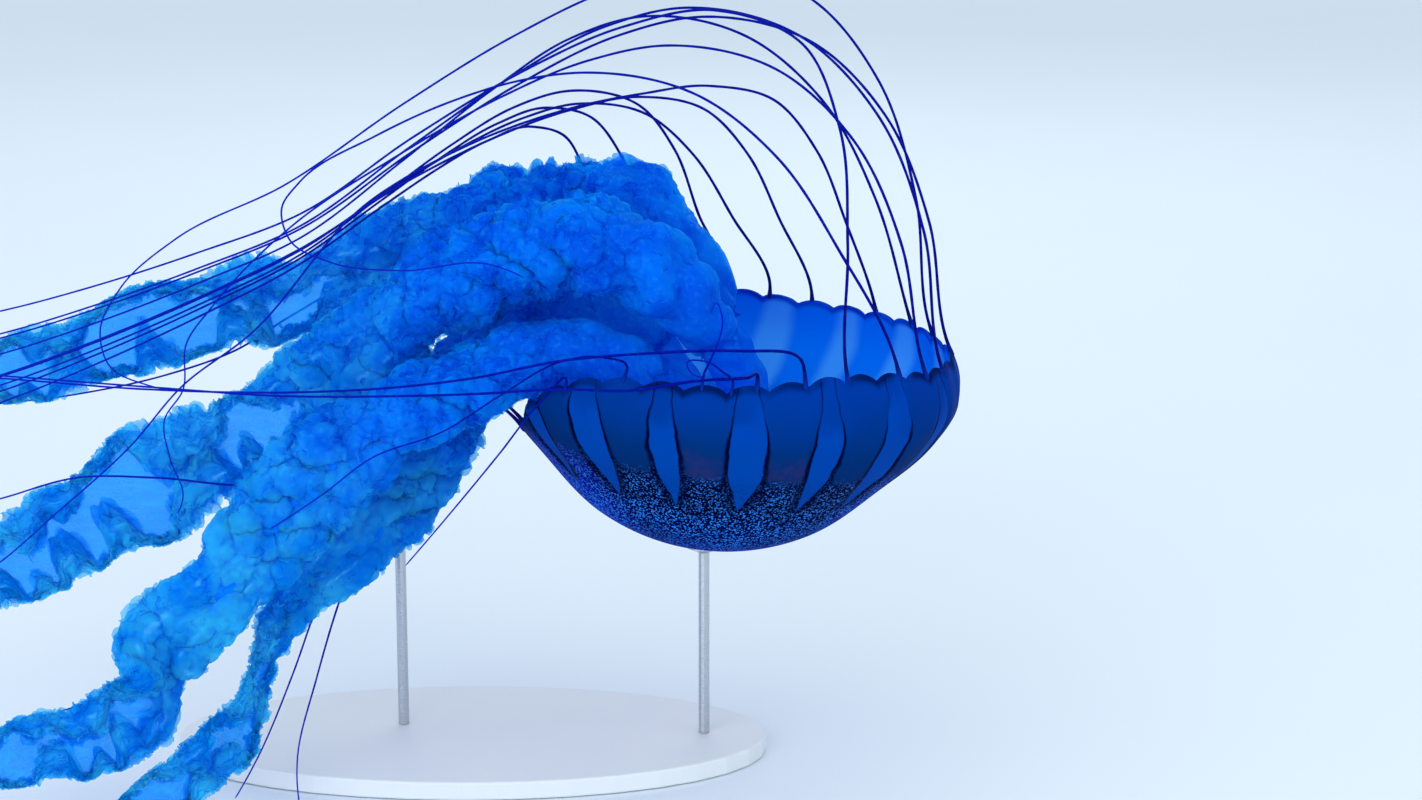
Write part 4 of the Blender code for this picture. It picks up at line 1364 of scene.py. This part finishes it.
def rim_root(clock_degrees):
    """Where a tentacle leaves the rim, and the direction of the rim's edge there."""
    angle = math.radians(90.0 - clock_degrees)
    edge = float(rim_share(angle) + lappet_share(angle))
    half_wall = BELL_THICKNESS * RIM_THICKNESS / 2
    fold = float(rim_folds(angle, edge))
    root, below = [
        BELL_PLACE @ Vector(bell_surface(angle, np.array(share), half_wall + fold))
        for share in (edge, edge - 0.03)
    ]
    return np.array(root), np.array((root - below).normalized())


def arc(start, leave, arrive, end, count):
    """Points on one cubic arc, after its start, given its end directions as handle lengths."""
    t = np.arange(1, count + 1)[:, None] / count
    first, second = start + leave, end - arrive
    near_start = start * (1 - t) ** 3 + first * 3 * t * (1 - t) ** 2
    return list(near_start + second * 3 * t**2 * (1 - t) + end * t**3)


def arch_points(clock_degrees, top_mm, upright, landing):
    """Guide points over the top of the arch to where it comes down, after those at the rim."""
    root, outward = rim_root(clock_degrees)
    start = root + outward * (ROOT_RUN + 3 * GAP)
    top = from_apex(top_mm)
    climb, fall = np.linalg.norm(top - start), np.linalg.norm(top - landing)
    leave = unit(unit(top - start) * (1 - upright) + np.array((0.10, 0.0, 1.0)) * upright)
    level = unit(np.array((landing[0] - top[0], landing[1] - top[1], 0.0)))
    rising = arc(start, leave * 0.42 * climb, level * 0.42 * climb, top, 4)
    return rising + arc(top, level * 0.24 * fall, ARRIVE * 0.42 * fall, landing, 4)


def tail_points(kind, clock_degrees, top_mm, side):
    """Guide points of a tail. In the stream the arches keep their order, and then fan out."""
    if kind != "stream":
        return [from_apex(point) for point in TAILS[kind]]
    aside = top_mm[1] * BUNDLE_DEPTH + side * BUNDLE_STAGGER
    across = np.array((0.0, aside, (clock_degrees - 45.0) * BUNDLE_RISE))
    return [
        from_apex(np.array(point) + across * (1.0 + BUNDLE_FAN * number))
        for number, point in enumerate(TAILS[kind])
    ]


def tentacle_guides():
    """The rim angle, guide points and thickness factor of each tentacle, in order."""
    found = []
    for number, (clock, top, upright, kind) in enumerate(ARCHES):
        tail = tail_points(kind, clock, top, (-1) ** number)
        found.append((clock, arch_points(clock, top, upright, tail[0]) + tail[1:], 1.0))
    for routes, factor in [(WINDING, 1.0), (SHORT, SHORT_FACTOR)]:
        for clock, route in routes.items():
            found.append((clock, [from_apex(point) for point in route], factor))
    return found


print("tentacles", len(tentacle_guides()))

# %% [markdown]
# A thread is a tube swept along its route. The ring of points at each step is carried on from the
# last one and only tipped to stay square to the line, so that the tube never twists. It flares
# where it leaves the rim and tapers to a fine tip.

# %% sweep the tentacles
TENTACLE_SIDES = 10
TENTACLE_STEP = 0.0022
FLARE = 1.3                        # how much wider a thread is at its root
FLARE_LENGTH = 0.006
TIP_LENGTH = 0.003                 # the length over which it closes


def swept_tube(line, radii, sides):
    """Rings of points square to a line, each carried on from the one before."""
    ahead = unit(np.gradient(line, axis=0))
    across = np.cross(ahead[0], (0.3, 0.9, 0.2))
    turn = np.linspace(0, 2 * math.pi, sides, endpoint=False)[:, None]
    rings = []
    for point, forward, radius in zip(line, ahead, radii):
        across = unit(across - forward * (across @ forward))
        upward = np.cross(forward, across)
        rings.append(point + radius * (np.cos(turn) * across + np.sin(turn) * upward))
    return np.array(rings)


def tentacle_rings(number, clock, guides, factor):
    """The rings of one thread, and the marks of how far along it they lie."""
    root, outward = rim_root(clock)
    guides = [root + outward * 3 * GAP, root + outward * (ROOT_RUN + 3 * GAP)] + guides
    line = smooth_line(guides, step=TENTACLE_STEP * coarser)
    line = np.vstack([root - outward * 0.003, root - outward * 0.001, line])
    along = distance_along(line)
    share = along / along[-1]
    radii = factor * TENTACLE_RADIUS * (1 - share) + TENTACLE_TIP_RADIUS * share
    radii = radii * (1.0 + FLARE * np.exp(-along / FLARE_LENGTH))
    radii = radii * (1 + 0.05 * drifting_wave(along, 0.021, number))
    closing = np.minimum(along + 0.0002, along[-1] - along) / TIP_LENGTH
    radii = radii * np.sqrt(np.clip(closing, 0.0, 1.0))
    even = np.zeros((1, TENTACLE_SIDES))
    marks = {"along": share[:, None] + even, "metres": along[:, None] + even}
    return swept_tube(line, radii, TENTACLE_SIDES), marks


first_rings, first_marks = tentacle_rings(1, *tentacle_guides()[0])
print("first thread", round(float(first_marks["metres"].max()), 3), "m", len(first_rings), "rings")

# %% [markdown]
# A thread is darkest near the bell and a clearer blue towards its tip, with a paler root where it
# grows out of the film. Fine flecks stand for the stinging cells that stud it in rings.

# %% finish of the threads, and the threads
THREAD_ROOT = srgb(2, 40, 140)
THREAD_STOPS = [(0.0, srgb(0, 8, 96)), (0.10, srgb(0, 6, 128)), (1.0, srgb(2, 34, 176))]
THREAD_FLECK = srgb(10, 44, 180)

thread_finish, shader, where = new_finish(
    "tentacle thread", 0.50, IOR=WATERY, Specular_IOR_Level=0.05
)
fleck = noise(where, 0.0022)
colour = ramp(mark(where, "along"), THREAD_STOPS)
colour = mixed(rise(mark(where, "metres"), 0.012, 0.0), colour, THREAD_ROOT)
mixed(rise(fleck, 0.50, 0.75) * 0.35, colour, THREAD_FLECK).into(shader, "Base Color")
bump(shader, fleck, 0.0003)

for number, guides in enumerate(tentacle_guides(), start=1):
    stands_for = [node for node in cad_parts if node.startswith(f"tentacle_{number:02d}")]
    rings, marks = tentacle_rings(number, *guides)
    name = f"tentacle_thread_{number:02d}"
    closed_piece(name, rings, marks, thread_finish, stands_for)
print("last thread", made_pieces[-1])

# %% [markdown]
# ## The stand
#
# The stand is an addition that holds the swimmer up, so it stays plain: satin metal rods and a base
# with a pale, slightly grained coating. Both keep the frame's shape and only get a finish. Brushing
# round a rod leaves fine rings, which is noise squeezed along the rod's length.

# %% finish of the stand
satin, shader, where = new_finish("satin rod", 0.30, Metallic=1.0)
brushed = noise(scaled(where, (1.0, 1.0, 14.0)), 0.004, detail=3.0)
mixed(brushed, srgb(176, 182, 190), srgb(206, 211, 217)).into(shader, "Base Color")
ramp(brushed, [(0.3, 0.24), (0.7, 0.40)]).into(shader, "Roughness")
bump(shader, brushed, 0.0001)

coating, shader, where = new_finish("pale coating", 0.55, Specular_IOR_Level=0.4)
grain = noise(where, 0.0012)
coat = mixed(noise(where, 0.08), srgb(214, 220, 226), srgb(222, 227, 232))
coat.into(shader, "Base Color")
ramp(grain, [(0.3, 0.48), (0.7, 0.62)]).into(shader, "Roughness")
bump(shader, grain, 0.00012)

STAND = {"stand_rod_bell": satin, "stand_rod_arms": satin, "stand_base": coating}
for node, finish in STAND.items():
    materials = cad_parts[node].data.materials
    materials.clear()
    materials.append(finish)
print("stand", list(STAND))

# %% sizes
print("pieces", len(made_pieces), "triangles", sum(count for name, count in made_pieces))
